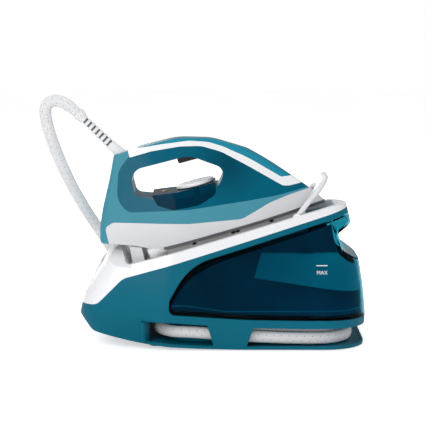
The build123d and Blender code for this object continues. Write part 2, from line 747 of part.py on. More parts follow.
heel_region = side_sketch(
    [(-45.0, -tray_depth), (-29.0, -tray_depth), (-28.0, 10.0), (-42.5, 15.6)],
    [0, 0, 1.0, 3.0],
    iron_side,
)
with BuildPart() as heel_support:
    extrude(heel_region, amount=44.0, both=True)
    with BuildSketch(iron_side):
        with Locations((-36.0, -tray_depth)):
            Rectangle(8.0, 16.0, align=(Align.CENTER, Align.MIN))
    extrude(amount=40.0, both=True, mode=Mode.SUBTRACT)
heel_support.part.label = "heel_support"

# ---------------------------------------------------------------- regions of the iron
iron_profile = side_sketch(
    [
        (0.0, 0.0), (240.0, 0.0), (240.0, 34.0), (96.0, 121.0), (52.0, 133.5),
        (0.0, 134.5), (-60.0, 130.5), (-90.0, 31.5), (-41.0, 17.0),
    ],
    [0, 0, 0, 70.0, 90.0, 80.0, 0, 0, 60.0],
    iron_side,
)
skirt_seam = [
    (240.0, 24.9), (175.0, 24.0), (147.0, 22.0), (107.5, 12.4), (40.0, 24.8), (-56.0, 50.0),
]
skirt_region = side_sketch(
    [(0.0, -10.0), (240.0, -10.0)] + skirt_seam + [(-68.0, 46.0), (-68.0, 10.0)],
    [0, 0, 0, 60.0, 60.0, 26.0, 120.0, 9.0, 6.0, 0],
    iron_side,
)
dark_seam = [
    (240.0, 25.4), (163.0, 27.4), (111.0, 33.6), (44.0, 41.8), (-34.0, 57.8), (-44.0, 76.0), (-33.0, 112.0),
    (-14.0, 127.0),
]
dark_region = side_sketch(
    dark_seam + [(-14.0, 150.0), (240.0, 150.0)],
    [0, 200.0, 150.0, 150.0, 16.0, 26.0, 24.0, 0, 0, 0],
    iron_side,
)
stripe_low = [
    (-14.0, 125.0), (14.0, 125.7), (53.0, 122.0), (80.0, 115.5), (104.0, 101.0), (133.0, 74.0), (170.0, 37.5),
    (178.0, 35.0), (240.0, 31.0),
]
stripe_region = side_sketch(
    stripe_low + [(240.0, 150.0), (-14.0, 150.0)],
    [0, 60.0, 60.0, 40.0, 60.0, 200.0, 6.0, 6.0, 0, 0, 0],
    iron_side,
)
cover_low = [
    (-14.0, 135.2), (30.0, 131.0), (67.0, 126.0), (90.0, 118.0), (107.0, 107.5), (136.0, 84.0),
    (171.0, 48.6), (240.0, 38.0),
]
cover_region = side_sketch(
    cover_low + [(240.0, 150.0), (-14.0, 150.0)],
    [0, 90.0, 60.0, 40.0, 60.0, 200.0, 5.0, 0, 0, 0],
    iron_side,
)
opening_region = side_sketch(
    [(-18.5, 108.5), (62.0, 107.5), (104.0, 78.5), (90.0, 61.0), (6.0, 65.0), (-19.5, 75.0)],
    [17.0, 34.0, 12.0, 6.0, 16.0, 10.0],
    iron_side,
)
pod_region = side_sketch(
    [(1.5, 71.3), (34.0, 66.6), (86.5, 66.0), (83.0, 51.0), (58.0, 43.5), (24.0, 46.5), (6.0, 57.0)],
    [0.8, 20.0, 1.5, 8.0, 30.0, 14.0, 5.0],
    iron_side,
)
cavity_region = side_sketch(
    [(-60.0, 26.0), (-41.0, 20.5), (2.0, sole_thickness), (240.0, sole_thickness), (240.0, 20.0),
     (110.0, 37.0), (60.0, 42.5), (-30.0, 50.0), (-60.0, 50.0)],
    0.0,
    iron_side,
)

with BuildPart() as iron_body_form:
    add(outer_iron)
    extrude(iron_profile, amount=through, both=True, mode=Mode.INTERSECT)

with BuildPart() as iron_cavity:
    add(inner_iron)
    extrude(cavity_region, amount=through, both=True, mode=Mode.INTERSECT)

# ---------------------------------------------------------------- iron shells
dial_plane = Plane(
    origin=iron_plane.from_local_coords(Vector(dial_along, 0, dial_height)),
    x_dir=(cos(radians(iron_tilt + dial_tilt)), 0, sin(radians(iron_tilt + dial_tilt))),
    z_dir=(-sin(radians(iron_tilt + dial_tilt)), 0, cos(radians(iron_tilt + dial_tilt))),
)
relief_plane = Plane(
    origin=(relief_root[0], 0, relief_root[1]),
    x_dir=(0, 1, 0),
    z_dir=(-cos(radians(relief_angle)), 0, sin(radians(relief_angle))),
)
collar_root = 8.0
collar_embed = 12.0
heel_screw_along = -64.0
heel_screw_half = 20.0
heel_screw_low = 26.5
heel_screw_high = 62.0
heel_screw_spots = [(heel_screw_along, -heel_screw_half), (heel_screw_along, heel_screw_half)]


def shaft_bore(gap):
    """Clearance hole for the dial's shaft, down from the dial to the iron's cavity."""
    with BuildPart() as bore:
        with BuildSketch(dial_plane.offset(6.0)):
            Circle(shaft_radius + gap)
        extrude(amount=-50.0)
    return bore.part


def relief_bore():
    """Seat of the hose collar in the back of the handle."""
    with BuildPart() as bore:
        with BuildSketch(relief_plane.offset(-collar_embed)):
            Circle(collar_root)
        extrude(amount=60.0)
    return bore.part


with BuildPart() as iron_skirt:
    add(iron_body_form.part)
    extrude(skirt_region, amount=through, both=True, mode=Mode.INTERSECT)
    with BuildSketch(iron_side):
        Rectangle(sole_length * 2, sole_thickness, align=(Align.MIN, Align.MIN))
    extrude(amount=through, both=True, mode=Mode.SUBTRACT)
    add(iron_cavity.part, mode=Mode.SUBTRACT)
    with BuildSketch(iron_plane.offset(heel_screw_low - 10.0)):
        with Locations(*heel_screw_spots):
            Circle(screw_head_radius + fit_gap)
    extrude(amount=10.0 + screw_head_height, mode=Mode.SUBTRACT)
    with BuildSketch(iron_plane.offset(heel_screw_low)):
        with Locations(*heel_screw_spots):
            Circle(screw_radius)
    extrude(amount=heel_screw_high - heel_screw_low, mode=Mode.SUBTRACT)
iron_skirt.part.label = "iron_skirt"

with BuildPart() as iron_body:
    add(iron_body_form.part)
    extrude(skirt_region, amount=through, both=True, mode=Mode.SUBTRACT)
    extrude(dark_region, amount=through, both=True, mode=Mode.SUBTRACT)
    add(iron_cavity.part, mode=Mode.SUBTRACT)
    add(relief_bore(), mode=Mode.SUBTRACT)
    with BuildSketch(iron_plane.offset(heel_screw_low)):
        with Locations(*heel_screw_spots):
            Circle(screw_radius)
    extrude(amount=heel_screw_high - heel_screw_low, mode=Mode.SUBTRACT)
iron_body.part.label = "iron_body"

trigger_along = 60.0
trigger_length = 30.0
trigger_half = 8.0
trigger_travel = 3.0
trigger_low = 99.5
trigger_high = 108.5
pocket_top = trigger_high + trigger_travel + 0.4
switch_height = 5.0
switch_length = 16.0
switch_width = 9.0
spring_radius = 2.0
spring_wire = 0.45
spring_seat = 4.0           # depth of the spring's seats in the trigger and the handle
spring_spots = [(trigger_along - 11.5, 0), (trigger_along + 11.5, 0)]

with BuildPart() as handle_shell:
    add(iron_body_form.part)
    extrude(dark_region, amount=through, both=True, mode=Mode.INTERSECT)
    extrude(stripe_region, amount=through, both=True, mode=Mode.SUBTRACT)
    extrude(opening_region, amount=through, both=True, mode=Mode.SUBTRACT)
    extrude(pod_region, amount=through, both=True, mode=Mode.SUBTRACT)
    add(iron_cavity.part, mode=Mode.SUBTRACT)
    with BuildSketch(iron_plane.offset(trigger_low - 2.0)):
        with Locations((trigger_along, 0)):
            Rectangle(trigger_length + 1.0, 2 * trigger_half + 1.0)
    extrude(amount=pocket_top - trigger_low + 2.0, mode=Mode.SUBTRACT)
    with BuildSketch(iron_plane.offset(pocket_top)):
        with Locations((trigger_along, 0)):
            Rectangle(switch_length, switch_width)
    extrude(amount=switch_height, mode=Mode.SUBTRACT)
    with BuildSketch(iron_plane.offset(pocket_top)):
        with Locations(*spring_spots):
            Circle(spring_radius + 0.7)
    extrude(amount=spring_seat, mode=Mode.SUBTRACT)
    add(shaft_bore(0.5), mode=Mode.SUBTRACT)
    add(relief_bore(), mode=Mode.SUBTRACT)
handle_shell.part.label = "handle_shell"

with BuildPart() as side_trim:
    add(iron_body_form.part)
    extrude(dark_region, amount=through, both=True, mode=Mode.INTERSECT)
    extrude(stripe_region, amount=through, both=True, mode=Mode.INTERSECT)
    extrude(cover_region, amount=through, both=True, mode=Mode.SUBTRACT)
    add(relief_bore(), mode=Mode.SUBTRACT)
side_trim.part.label = "side_trim"

with BuildPart() as handle_cover:
    add(iron_body_form.part)
    extrude(dark_region, amount=through, both=True, mode=Mode.INTERSECT)
    extrude(cover_region, amount=through, both=True, mode=Mode.INTERSECT)
    add(relief_bore(), mode=Mode.SUBTRACT)
handle_cover.part.label = "handle_cover"

# ---------------------------------------------------------------- iron controls
pilot_along = 18.0
pilot_low = 63.0
pilot_height = 7.0
pilot_radius = 3.6
with BuildPart() as control_pod:
    add(iron_body_form.part)
    extrude(pod_region, amount=through, both=True, mode=Mode.INTERSECT)
    add(shaft_bore(pin_clearance), mode=Mode.SUBTRACT)
    with BuildSketch(iron_plane.offset(pilot_low)):
        with Locations((pilot_along, 0)):
            Circle(pilot_radius)
    extrude(amount=20.0, mode=Mode.SUBTRACT)
control_pod.part.label = "control_pod"

with BuildPart() as pilot_lens:
    with BuildSketch(iron_plane.offset(pilot_low)):
        with Locations((pilot_along, 0)):
            Circle(pilot_radius)
    extrude(amount=pilot_height)
    fillet(pilot_lens.faces().sort_by(Axis((0, 0, 0), iron_plane.z_dir))[-1].edges(), 1.5)
pilot_lens.part.label = "pilot_lens"

with BuildPart() as temperature_dial:
    with BuildSketch(dial_plane):
        Circle(dial_radius)
    extrude(amount=dial_thickness)
    fillet(temperature_dial.edges().filter_by(GeomType.CIRCLE), 1.2)
    with BuildSketch(dial_plane):
        Circle(shaft_radius)
    extrude(amount=-2.0)
temperature_dial.part.label = "temperature_dial"

chamber_top = 20.0
thermostat_top = 30.0
thermostat_radius = 12.0
shaft_end = (dial_height - thermostat_top) / cos(radians(dial_tilt)) - 1.0
with BuildPart() as dial_shaft:
    with BuildSketch(dial_plane.offset(-2.0)):
        Circle(shaft_radius)
    extrude(amount=2.0 - shaft_end)
dial_shaft.part.label = "dial_shaft"

with BuildPart() as steam_trigger:
    with BuildSketch(iron_plane.offset(trigger_low)):
        with Locations((trigger_along, 0)):
            RectangleRounded(trigger_length, 2 * trigger_half, 3.0)
    extrude(amount=trigger_high - trigger_low)
    fillet(steam_trigger.faces().sort_by(Axis((0, 0, 0), iron_plane.z_dir))[0].edges(), 2.5)
    with BuildSketch(iron_plane.offset(trigger_high)):
        with Locations(*spring_spots):
            Circle(spring_radius + 0.7)
    extrude(amount=-spring_seat, mode=Mode.SUBTRACT)
steam_trigger.part.label = "steam_trigger"

spring_length = pocket_top - trigger_high + 2 * spring_seat
spring_turns = 6
with BuildPart() as trigger_spring:
    for along, across in spring_spots:
        seat = Vector(along, across, trigger_high - spring_seat + spring_wire)
        with BuildLine() as coil:
            Helix(
                pitch=(spring_length - 2 * spring_wire) / spring_turns,
                height=spring_length - 2 * spring_wire, radius=spring_radius,
                center=iron_plane.from_local_coords(seat), direction=iron_plane.z_dir,
            )
        with BuildSketch(Plane(origin=coil.line @ 0, z_dir=coil.line % 0)):
            RegularPolygon(spring_wire, 6)
        sweep(path=coil.line, is_frenet=True)
trigger_spring.part.label = "trigger_spring"

with BuildPart() as microswitch:
    with BuildSketch(iron_plane.offset(pocket_top)):
        with Locations((trigger_along, 0)):
            Rectangle(switch_length, switch_width)
    extrude(amount=switch_height)
microswitch.part.label = "microswitch"

# ---------------------------------------------------------------- sole and heating
hole_radius = 1.6
element_radius = 3.0
with BuildPart() as soleplate:
    extrude(iron_plan(0.0, *sole_outline, 1.2), amount=sole_thickness)
    with BuildSketch(iron_side):
        with Locations((0.0, -1.0)):
            Rectangle(120.0, sole_thickness + 2.0, align=(Align.MAX, Align.MIN))
    extrude(amount=through, both=True, mode=Mode.SUBTRACT)
    chamfer(soleplate.faces().sort_by(Axis((0, 0, 0), iron_plane.z_dir))[0].edges(), 0.8)
    with BuildSketch(iron_plane):
        for step in range(7):
            along = 84.0 + step * 17.0
            spread = 34.0 - step * 4.4
            with Locations((along, -spread), (along, spread)):
                Circle(hole_radius)
    extrude(amount=sole_thickness, mode=Mode.SUBTRACT)
soleplate.part.label = "soleplate"

with BuildPart() as steam_chamber:
    extrude(iron_plan(sole_thickness, *sole_outline, 18.0), amount=chamber_top - sole_thickness)
    with BuildSketch(iron_side):
        with Locations((8.0, 0.0)):
            Rectangle(120.0, 60.0, align=(Align.MAX, Align.MIN))
    extrude(amount=through, both=True, mode=Mode.SUBTRACT)
    chamfer(steam_chamber.faces().sort_by(Axis((0, 0, 0), iron_plane.z_dir))[-1].edges(), 2.0)
steam_chamber.part.label = "steam_chamber"

with BuildPart() as heating_element:
    with BuildLine(iron_plane.offset(chamber_top + element_radius)) as element:
        FilletPolyline(
            (20.0, 25.0), (110.0, 22.0), (172.0, 9.0), (172.0, -9.0), (110.0, -22.0), (20.0, -25.0),
            radius=[60.0, 9.0, 9.0, 60.0],
        )
    with BuildSketch(Plane(origin=element.line @ 0, z_dir=element.line % 0)):
        Circle(element_radius)
    sweep(path=element.line)
heating_element.part.label = "heating_element"

thermostat_along = dial_along + (dial_height - thermostat_top) * tan(radians(dial_tilt))
with BuildPart() as thermostat:
    with BuildSketch(iron_plane.offset(chamber_top)):
        with Locations((thermostat_along, 0)):
            Circle(thermostat_radius)
    extrude(amount=thermostat_top - chamber_top)
thermostat.part.label = "thermostat"

with BuildPart() as iron_screws:
    with BuildSketch(iron_plane.offset(heel_screw_low)):
        with Locations(*heel_screw_spots):
            Circle(screw_head_radius)
    extrude(amount=screw_head_height)
    with BuildSketch(iron_plane.offset(heel_screw_low)):
        with Locations(*heel_screw_spots):
            Circle(screw_radius)
    extrude(amount=heel_screw_high - heel_screw_low)
iron_screws.part.label = "iron_screws"

# ---------------------------------------------------------------- hose
collar_nose = 6.4
spigot_radius = 4.2
rib_root, rib_tip = 6.5, 5.6
groove_depth = 1.5
groove_width = 3.0
groove_pitch = 7.0
groove_count = 7
sleeve_length = 12.0
flange_rise = 1.7           # the end flange, over the hose
with BuildPart() as hose_collar:
    with BuildSketch(relief_plane.offset(-collar_embed)):
        Circle(collar_root)
    extrude(amount=collar_embed)
    with BuildSketch(relief_plane):
        Circle(collar_root - 0.4)
    with BuildSketch(relief_plane.offset(collar_length)):
        Circle(collar_nose)
    loft()
    with BuildSketch(relief_plane.offset(2.0)):
        Circle(spigot_radius)
    extrude(amount=collar_length, mode=Mode.SUBTRACT)
hose_collar.part.label = "hose_collar"

with BuildPart() as hose_strain_relief:
    with BuildSketch(relief_plane.offset(2.0)):
        Circle(spigot_radius)
    extrude(amount=collar_length - 2.0)
    with BuildSketch(relief_plane.offset(collar_length)):
        Circle(rib_root)
    with BuildSketch(relief_plane.offset(relief_length - sleeve_length)):
        Circle(rib_tip)
    loft()
    for turn in range(groove_count):
        start = collar_length + 3.0 + turn * groove_pitch
        shrink = rib_root - (rib_root - rib_tip) * turn / (groove_count - 1)
        with BuildSketch(relief_plane.offset(start)):
            Circle(rib_root + 1.0)
            Circle(shrink - groove_depth, mode=Mode.SUBTRACT)
        extrude(amount=groove_width, mode=Mode.SUBTRACT)
    with BuildSketch(relief_plane.offset(relief_length - sleeve_length)):
        Circle(rib_tip)
    with BuildSketch(relief_plane.offset(relief_length - 3.0)):
        Circle(hose_tube / 2 + flange_rise)
    loft()
    with BuildSketch(relief_plane.offset(relief_length - 3.0)):
        Circle(hose_tube / 2 + flange_rise)
    extrude(amount=3.0)
hose_strain_relief.part.label = "hose_strain_relief"

relief_end, relief_ahead = (
    tuple(relief_plane.origin + relief_plane.z_dir * reach) for reach in (relief_length, relief_length + 18.0)
)
hose_routes = {
    "steam_hose_loop": [
        relief_end, relief_ahead, (-220.0, 1.5, 313.0), (-232.0, 4.5, 304.5),
        (-231.5, 9.5, 285.0), (-224.0, 18.5, 254.0), (-206.0, 33.0, 205.0), (-183.0, 55.0, 158.0),
        (-168.0, 73.0, 131.0),
    ],
    "steam_hose_tail": [
        (-168.0, 73.0, 131.0), (-155.0, 88.6, 107.6), (-147.6, 101.2, 88.8), (-138.5, 107.9, 68.0),
        (-125.3, 109.4, 48.4), (-107.6, 107.9, 32.9), (-86.6, 103.9, 22.8), (-64.0, 98.1, 19.0),
        (-40.9, 91.6, 19.2), (-17.4, 89.4, 18.8),
    ],
}


def widest_bends(points):
    """The largest arc for each corner of a route that the two runs beside it leave room for."""
    spots = [Vector(*point) for point in points]
    runs = [after - before for before, after in zip(spots, spots[1:])]
    return [
        0.45 * min(before.length, after.length) / tan(radians(before.get_angle(after)) / 2)
        for before, after in zip(runs, runs[1:])
    ]


hoses = []
for name, points in hose_routes.items():
    bends = widest_bends(points)
    with BuildPart() as tube:
        with BuildLine() as route:
            FilletPolyline(*points, radius=bends)
        with BuildSketch(Plane(origin=route.line @ 0, z_dir=route.line % 0)):
            Circle(hose_tube / 2)
        sweep(path=route.line)
    tube.part.label = name
    hoses.append(tube.part)
    length = sum(edge.length for edge in route.line.edges())
    share = tube.part.volume / (pi * (hose_tube / 2) ** 2 * length)
    print(name, "length", round(length, 1), "volume over section times length", round(share, 4))
    print(name, "radii", [round(bend, 1) for bend in bends])

winding_plane = Plane(
    origin=(0, 0, hose_height),
    x_dir=(cos(radians(winding_tilt)), 0, -sin(radians(winding_tilt))),
    z_dir=(sin(radians(winding_tilt)), 0, cos(radians(winding_tilt))),
)
with BuildPart() as steam_hose_coil:
    extrude(ring_plan(hose_gap + 2 * strand_pitch, winding_plane), amount=hose_width / 2, both=True)
    extrude(ring_plan(hose_gap, winding_plane), amount=hose_width, both=True, mode=Mode.SUBTRACT)
steam_hose_coil.part.label = "steam_hose_coil"

# ---------------------------------------------------------------- files
pieces = [
    builder.part
    for builder in (
        bottom_plate, rubber_feet, base_screws, base_housing, tank_seal, cord_gland, hose_gland,
        top_cover, control_panel, indicator_lenses, boiler, heater_band, steam_valve, pump,
        control_board, water_tank, lock_hoop, hoop_pins, rest_pads, heel_support,
        iron_skirt, iron_body, handle_shell, side_trim, handle_cover, control_pod, pilot_lens,
        temperature_dial, dial_shaft, steam_trigger, trigger_spring, microswitch,
        soleplate, steam_chamber, heating_element, thermostat, iron_screws,
        hose_collar, hose_strain_relief, steam_hose_coil,
    )
]
for piece in pieces + buttons + hoses:
    export_step(piece, f"parts/{piece.label}.step")
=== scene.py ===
"""Steam generator iron: finishes, steam hose and fine details around the CAD frame. Metres throughout."""
import json
from math import cos, pi, radians, sin

import bmesh
import bpy
import numpy as np
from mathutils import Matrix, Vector

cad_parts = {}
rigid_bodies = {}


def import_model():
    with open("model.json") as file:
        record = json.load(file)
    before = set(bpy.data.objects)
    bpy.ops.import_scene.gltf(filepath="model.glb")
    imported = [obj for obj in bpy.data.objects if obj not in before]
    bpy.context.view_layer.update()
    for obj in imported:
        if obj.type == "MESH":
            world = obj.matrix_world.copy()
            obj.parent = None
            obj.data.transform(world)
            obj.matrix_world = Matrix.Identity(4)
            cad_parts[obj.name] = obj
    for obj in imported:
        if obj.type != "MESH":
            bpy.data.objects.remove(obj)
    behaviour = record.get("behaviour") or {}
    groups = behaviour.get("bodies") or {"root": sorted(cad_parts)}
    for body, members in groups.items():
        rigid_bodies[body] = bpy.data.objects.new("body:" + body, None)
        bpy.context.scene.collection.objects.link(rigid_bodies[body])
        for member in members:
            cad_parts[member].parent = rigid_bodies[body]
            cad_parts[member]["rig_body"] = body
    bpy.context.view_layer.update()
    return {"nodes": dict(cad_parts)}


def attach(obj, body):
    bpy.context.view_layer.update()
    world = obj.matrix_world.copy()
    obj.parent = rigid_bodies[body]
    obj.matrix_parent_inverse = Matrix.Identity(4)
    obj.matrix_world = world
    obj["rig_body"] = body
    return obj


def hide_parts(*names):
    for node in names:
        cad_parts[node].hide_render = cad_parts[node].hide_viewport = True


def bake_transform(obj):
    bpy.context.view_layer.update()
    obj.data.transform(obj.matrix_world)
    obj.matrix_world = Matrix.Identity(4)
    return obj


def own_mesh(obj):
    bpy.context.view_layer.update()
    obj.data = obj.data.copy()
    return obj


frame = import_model()
nodes = frame["nodes"]
scene = bpy.context.scene

TILT = radians(15.0)               # the iron stands nose-up on its tray
HEEL = np.array([-0.074, 0.0, 0.121])      # rear end of the sole
ALONG = np.array([cos(TILT), 0.0, sin(TILT)])
UPWARD = np.array([-sin(TILT), 0.0, cos(TILT)])
ACROSS = np.array([0.0, 1.0, 0.0])
RELIEF_ANGLE = radians(43.7)       # the hose leaves the handle at this angle above the ground
RELIEF_ROOT = np.array([-0.1335, 0.0, 0.2423])
RELIEF_OUT = np.array([-cos(RELIEF_ANGLE), 0.0, sin(RELIEF_ANGLE)])
MERGE = 1e-6                       # points of a new piece this close are one point
CAD_MERGE = 4e-6                   # and points of a CAD mesh
CREASE = radians(28.0)             # edges sharper than this stay sharp


# ---------------------------------------------------------------- meshes from arrays
def grid_faces(rows, columns, closed=False):
    """Quads of a rows x columns grid of points numbered row by row: point = row * columns + column. In a closed
    grid the last column joins the first."""
    r, c = np.meshgrid(np.arange(rows - 1), np.arange(columns if closed else columns - 1), indexing="ij")
    here, below, c = r.ravel() * columns, (r.ravel() + 1) * columns, c.ravel()
    beside = (c + 1) % columns
    return np.stack([here + c, here + beside, below + beside, below + c], 1)


def tube_faces(rings, sides):
    """Faces of a tube: the quads of its wall and one polygon over each end."""
    ends = [tuple(range(sides))[::-1], tuple(range((rings - 1) * sides, rings * sides))]
    return [tuple(face) for face in grid_faces(rings, sides, closed=True)] + ends


def corner_places(mesh):
    """Places of a mesh's vertices as an N x 3 array."""
    places = np.zeros(len(mesh.vertices) * 3)
    mesh.vertices.foreach_get("co", places)
    return places.reshape(-1, 3)


def eased(t):
    """Soft step from 0 to 1: three t squared less two t cubed, with t held between 0 and 1."""
    t = np.clip(t, 0, 1)
    return t * t * (3 - 2 * t)


def turned(angles, right, up):
    """Directions at angles in the plane of two directions: cos(a)*right + sin(a)*up."""
    return np.cos(angles)[..., None] * right + np.sin(angles)[..., None] * up


def piece(name, points, faces, body, finish, slot=None, smooth=True, uv=None):
    """A mesh from an N x 3 array of points and a list or array of faces, riding on a CAD body."""
    mesh = bpy.data.meshes.new(name)
    mesh.from_pydata(np.asarray(points, float).tolist(), [], [list(map(int, f)) for f in faces])
    if uv is not None:
        loops = np.zeros(len(mesh.loops), np.int32)
        mesh.loops.foreach_get("vertex_index", loops)
        layer = mesh.uv_layers.new(name="length_round")
        layer.data.foreach_set("uv", np.asarray(uv, np.float32)[loops].ravel())
    mesh.polygons.foreach_set("use_smooth", np.full(len(mesh.polygons), smooth))
    mesh.materials.append(finish)
    made = bpy.data.objects.new(name, mesh)
    scene.collection.objects.link(made)
    if body:
        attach(made, body)
    return made


def outward(made):
    """Merges doubled points and turns every face outwards."""
    work = bmesh.new()
    work.from_mesh(made.data)
    bmesh.ops.remove_doubles(work, verts=work.verts, dist=MERGE)
    bmesh.ops.recalc_face_normals(work, faces=work.faces)
    work.to_mesh(made.data)
    work.free()
    return made


def shell(node, finish):
    """Merged copy of a CAD node, shaded smooth up to the crease angle, which stands for the node."""
    source = nodes[node].data
    corners = np.zeros(len(source.loops), np.int32)
    source.loops.foreach_get("vertex_index", corners)
    made = piece(node + "_skin", corner_places(source), corners.reshape(-1, 3), nodes[node]["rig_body"], finish)
    work = bmesh.new()
    work.from_mesh(made.data)
    bmesh.ops.remove_doubles(work, verts=work.verts, dist=CAD_MERGE)
    bmesh.ops.dissolve_degenerate(work, edges=work.edges, dist=1e-7)
    work.to_mesh(made.data)
    work.free()
    made.data.set_sharp_from_angle(angle=CREASE)
    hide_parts(node)
    return made


# ---------------------------------------------------------------- finishes
class Recipe:
    """A material under construction: nodes by kind, their inputs given as values or as sockets to link."""

    def __init__(self, name):
        self.material = bpy.data.materials.new(name)
        self.material.use_nodes = True
        self.tree = self.material.node_tree
        self.tree.nodes.clear()
        self.place = self.add("TexCoord").outputs["Object"]

    def add(self, kind, inputs=(), **settings):
        made = self.tree.nodes.new("ShaderNode" + kind)
        for key, value in settings.items():
            setattr(made, key, value)
        for key, value in dict(inputs).items():
            socket = made.inputs[key]
            if isinstance(value, bpy.types.NodeSocket):
                self.tree.links.new(value, socket)
            else:
                socket.default_value = value
        return made

    def noise(self, scale, detail=3.0, vector=None):
        return self.add("TexNoise", {"Vector": vector or self.place, "Scale": scale,
                                     "Detail": detail}).outputs["Fac"]

    def map(self, value, low, high, start=0.3, end=0.7):
        """Takes a value's range from start to end onto low to high."""
        return self.add("MapRange", {"Value": value, "From Min": start, "From Max": end,
                                     "To Min": low, "To Max": high}).outputs["Result"]

    def math(self, operation, a, b=0.0):
        return self.add("Math", {0: a, 1: b}, operation=operation).outputs[0]

    def less(self, a, b):
        return self.math("SUBTRACT", a, b)

    def times(self, a, b):
        return self.math("MULTIPLY", a, b)

    def blend(self, factor, a, b):
        """Colour a turned to colour b by a factor from 0 to 1."""
        made = self.add("Mix", data_type="RGBA")
        for index, value in ((0, factor), (6, a), (7, b)):
            if isinstance(value, bpy.types.NodeSocket):
                self.tree.links.new(value, made.inputs[index])
            else:
                made.inputs[index].default_value = value
        return made.outputs[2]

    def bump(self, height, distance, strength=1.0, normal=None):
        inputs = {"Height": height, "Distance": distance, "Strength": strength}
        if normal:
            inputs["Normal"] = normal
        return self.add("Bump", inputs).outputs["Normal"]

    def flow_waves(self):
        """The faint, slow waves of a moulded surface."""
        return self.bump(self.noise(24.0, 1.0), 0.001, 0.035)

    def split(self, vector=None):
        return self.add("SeparateXYZ", {0: vector or self.place}).outputs

    def vector_math(self, operation, a, b, result="Value"):
        return self.add("VectorMath", {0: a, 1: b}, operation=operation).outputs[result]

    def finish(self, **inputs):
        """Closes the recipe with a Principled shader; names use underscores for spaces."""
        shader = self.add("BsdfPrincipled", {key.replace("_", " "): value for key, value in inputs.items()})
        out = self.add("OutputMaterial", {"Surface": shader.outputs[0]})
        out.target = "ALL"
        return self.material


def srgb(*screen):
    """A colour given as three 0-255 screen values, as the linear values that a shader takes."""
    v = np.array(screen) / 255.0
    return (*np.where(v <= 0.04045, v / 12.92, ((v + 0.055) / 1.055) ** 2.4).tolist(), 1.0)


def shade(colour, factor):
    """The same colour, lighter or darker by a factor."""
    return (*(c * factor for c in colour[:3]), 1.0)


def moulded(name, colour, rough, grain=0.0, drift=0.06, coat=0.0, spec=0.5, deep=None, specks=0.10):
    """Moulded plastic: a slow drift of tone towards a deeper one, cloudy gloss, faint flow waves, fine
    dust-like pores and, where asked, a spark-eroded grain."""
    r = Recipe(name)
    slow, mid = r.noise(11.0, 2.0), r.noise(90.0, 4.0)
    pores = r.noise(900.0, 2.0)
    tone = r.blend(r.map(slow, 0.0, 1.0), shade(colour, 1.0 - drift), shade(colour, 1.0 + drift))
    tone = r.blend(r.map(mid, 0.0, 0.10), tone, deep or shade(colour, 0.8))
    tone = r.blend(r.map(pores, 0.0, specks, 0.62, 0.8), tone, shade(colour, 0.6))
    normal = r.flow_waves()
    if grain:
        cells = r.add("TexVoronoi", {"Vector": r.place, "Scale": 1700.0}).outputs["Distance"]
        normal = r.bump(cells, 0.0002, grain, normal)
    return r.finish(Base_Color=tone, Roughness=r.map(mid, rough - 0.05, rough + 0.06), Normal=normal,
                    Coat_Weight=coat, Coat_Roughness=0.06, Specular_IOR_Level=spec)


def metal(name, colour, rough, lines=0.0):
    """Metal with polishing lines along the part and cloudy gloss."""
    r = Recipe(name)
    stretched = r.vector_math("MULTIPLY", r.place, (1.0, 40.0, 40.0), "Vector")
    streak = r.noise(60.0, 4.0, stretched)
    cloud = r.noise(40.0, 3.0)
    tone = r.blend(r.map(streak, 0.0, 1.0), shade(colour, 0.9), shade(colour, 1.06))
    return r.finish(Base_Color=tone, Metallic=1.0, Roughness=r.map(cloud, rough - 0.06, rough + 0.08),
                    Normal=r.bump(streak, 0.0002, 0.05 + lines))


def cover_with_painted_sheen(name, crest, painted_flank_sheen):
    """Glossy cover with a painted highlight: its colour turns from a deep crest to a lighter tone on the sides
    as its surface turns to the side.
    """
    r = Recipe(name)
    mid = r.noise(90.0, 4.0)
    lean = r.math("ABSOLUTE", r.split(r.add("TexCoord").outputs["Normal"])[1])
    # painted highlight: surfaces facing across the iron are painted lighter
    tone = r.blend(r.map(lean, 0.0, 1.0, 0.35, 0.95), crest, painted_flank_sheen)
    tone = r.blend(r.map(mid, 0.0, 0.12), tone, shade(crest, 0.7))
    return r.finish(Base_Color=tone, Roughness=r.map(mid, 0.16, 0.26), Specular_IOR_Level=0.3,
                    Coat_Weight=0.06, Coat_Roughness=0.06, Normal=r.flow_waves())


def teal_with_painted_shade(name, colour, deep):
    """Glossy teal of the handle's flanks, with painted shade: a deeper colour painted in a round patch ahead of
    the opening, standing in for the dark reflection of the glossy shell there.
    """
    r = Recipe(name)
    mid = r.noise(90.0, 4.0)
    side_view = r.vector_math("MULTIPLY", r.place, (1.0, 0.0, 1.0), "Vector")
    from_hollow = r.vector_math("DISTANCE", side_view, (0.008, 0.0, 0.229))
    drift = r.map(r.noise(11.0, 2.0), 0.0, 1.0)
    tone = r.blend(drift, shade(colour, 0.96), shade(colour, 1.05))
    # painted shade: the deep colour laid round the hollow ahead of the opening, fading out within 5 cm
    tone = r.blend(r.map(from_hollow, 0.85, 0.0, 0.006, 0.050), tone, deep)
    tone = r.blend(r.map(mid, 0.0, 0.10), tone, shade(colour, 0.75))
    return r.finish(Base_Color=tone, Roughness=r.map(mid, 0.17, 0.27), Specular_IOR_Level=0.1,
                    Normal=r.flow_waves())


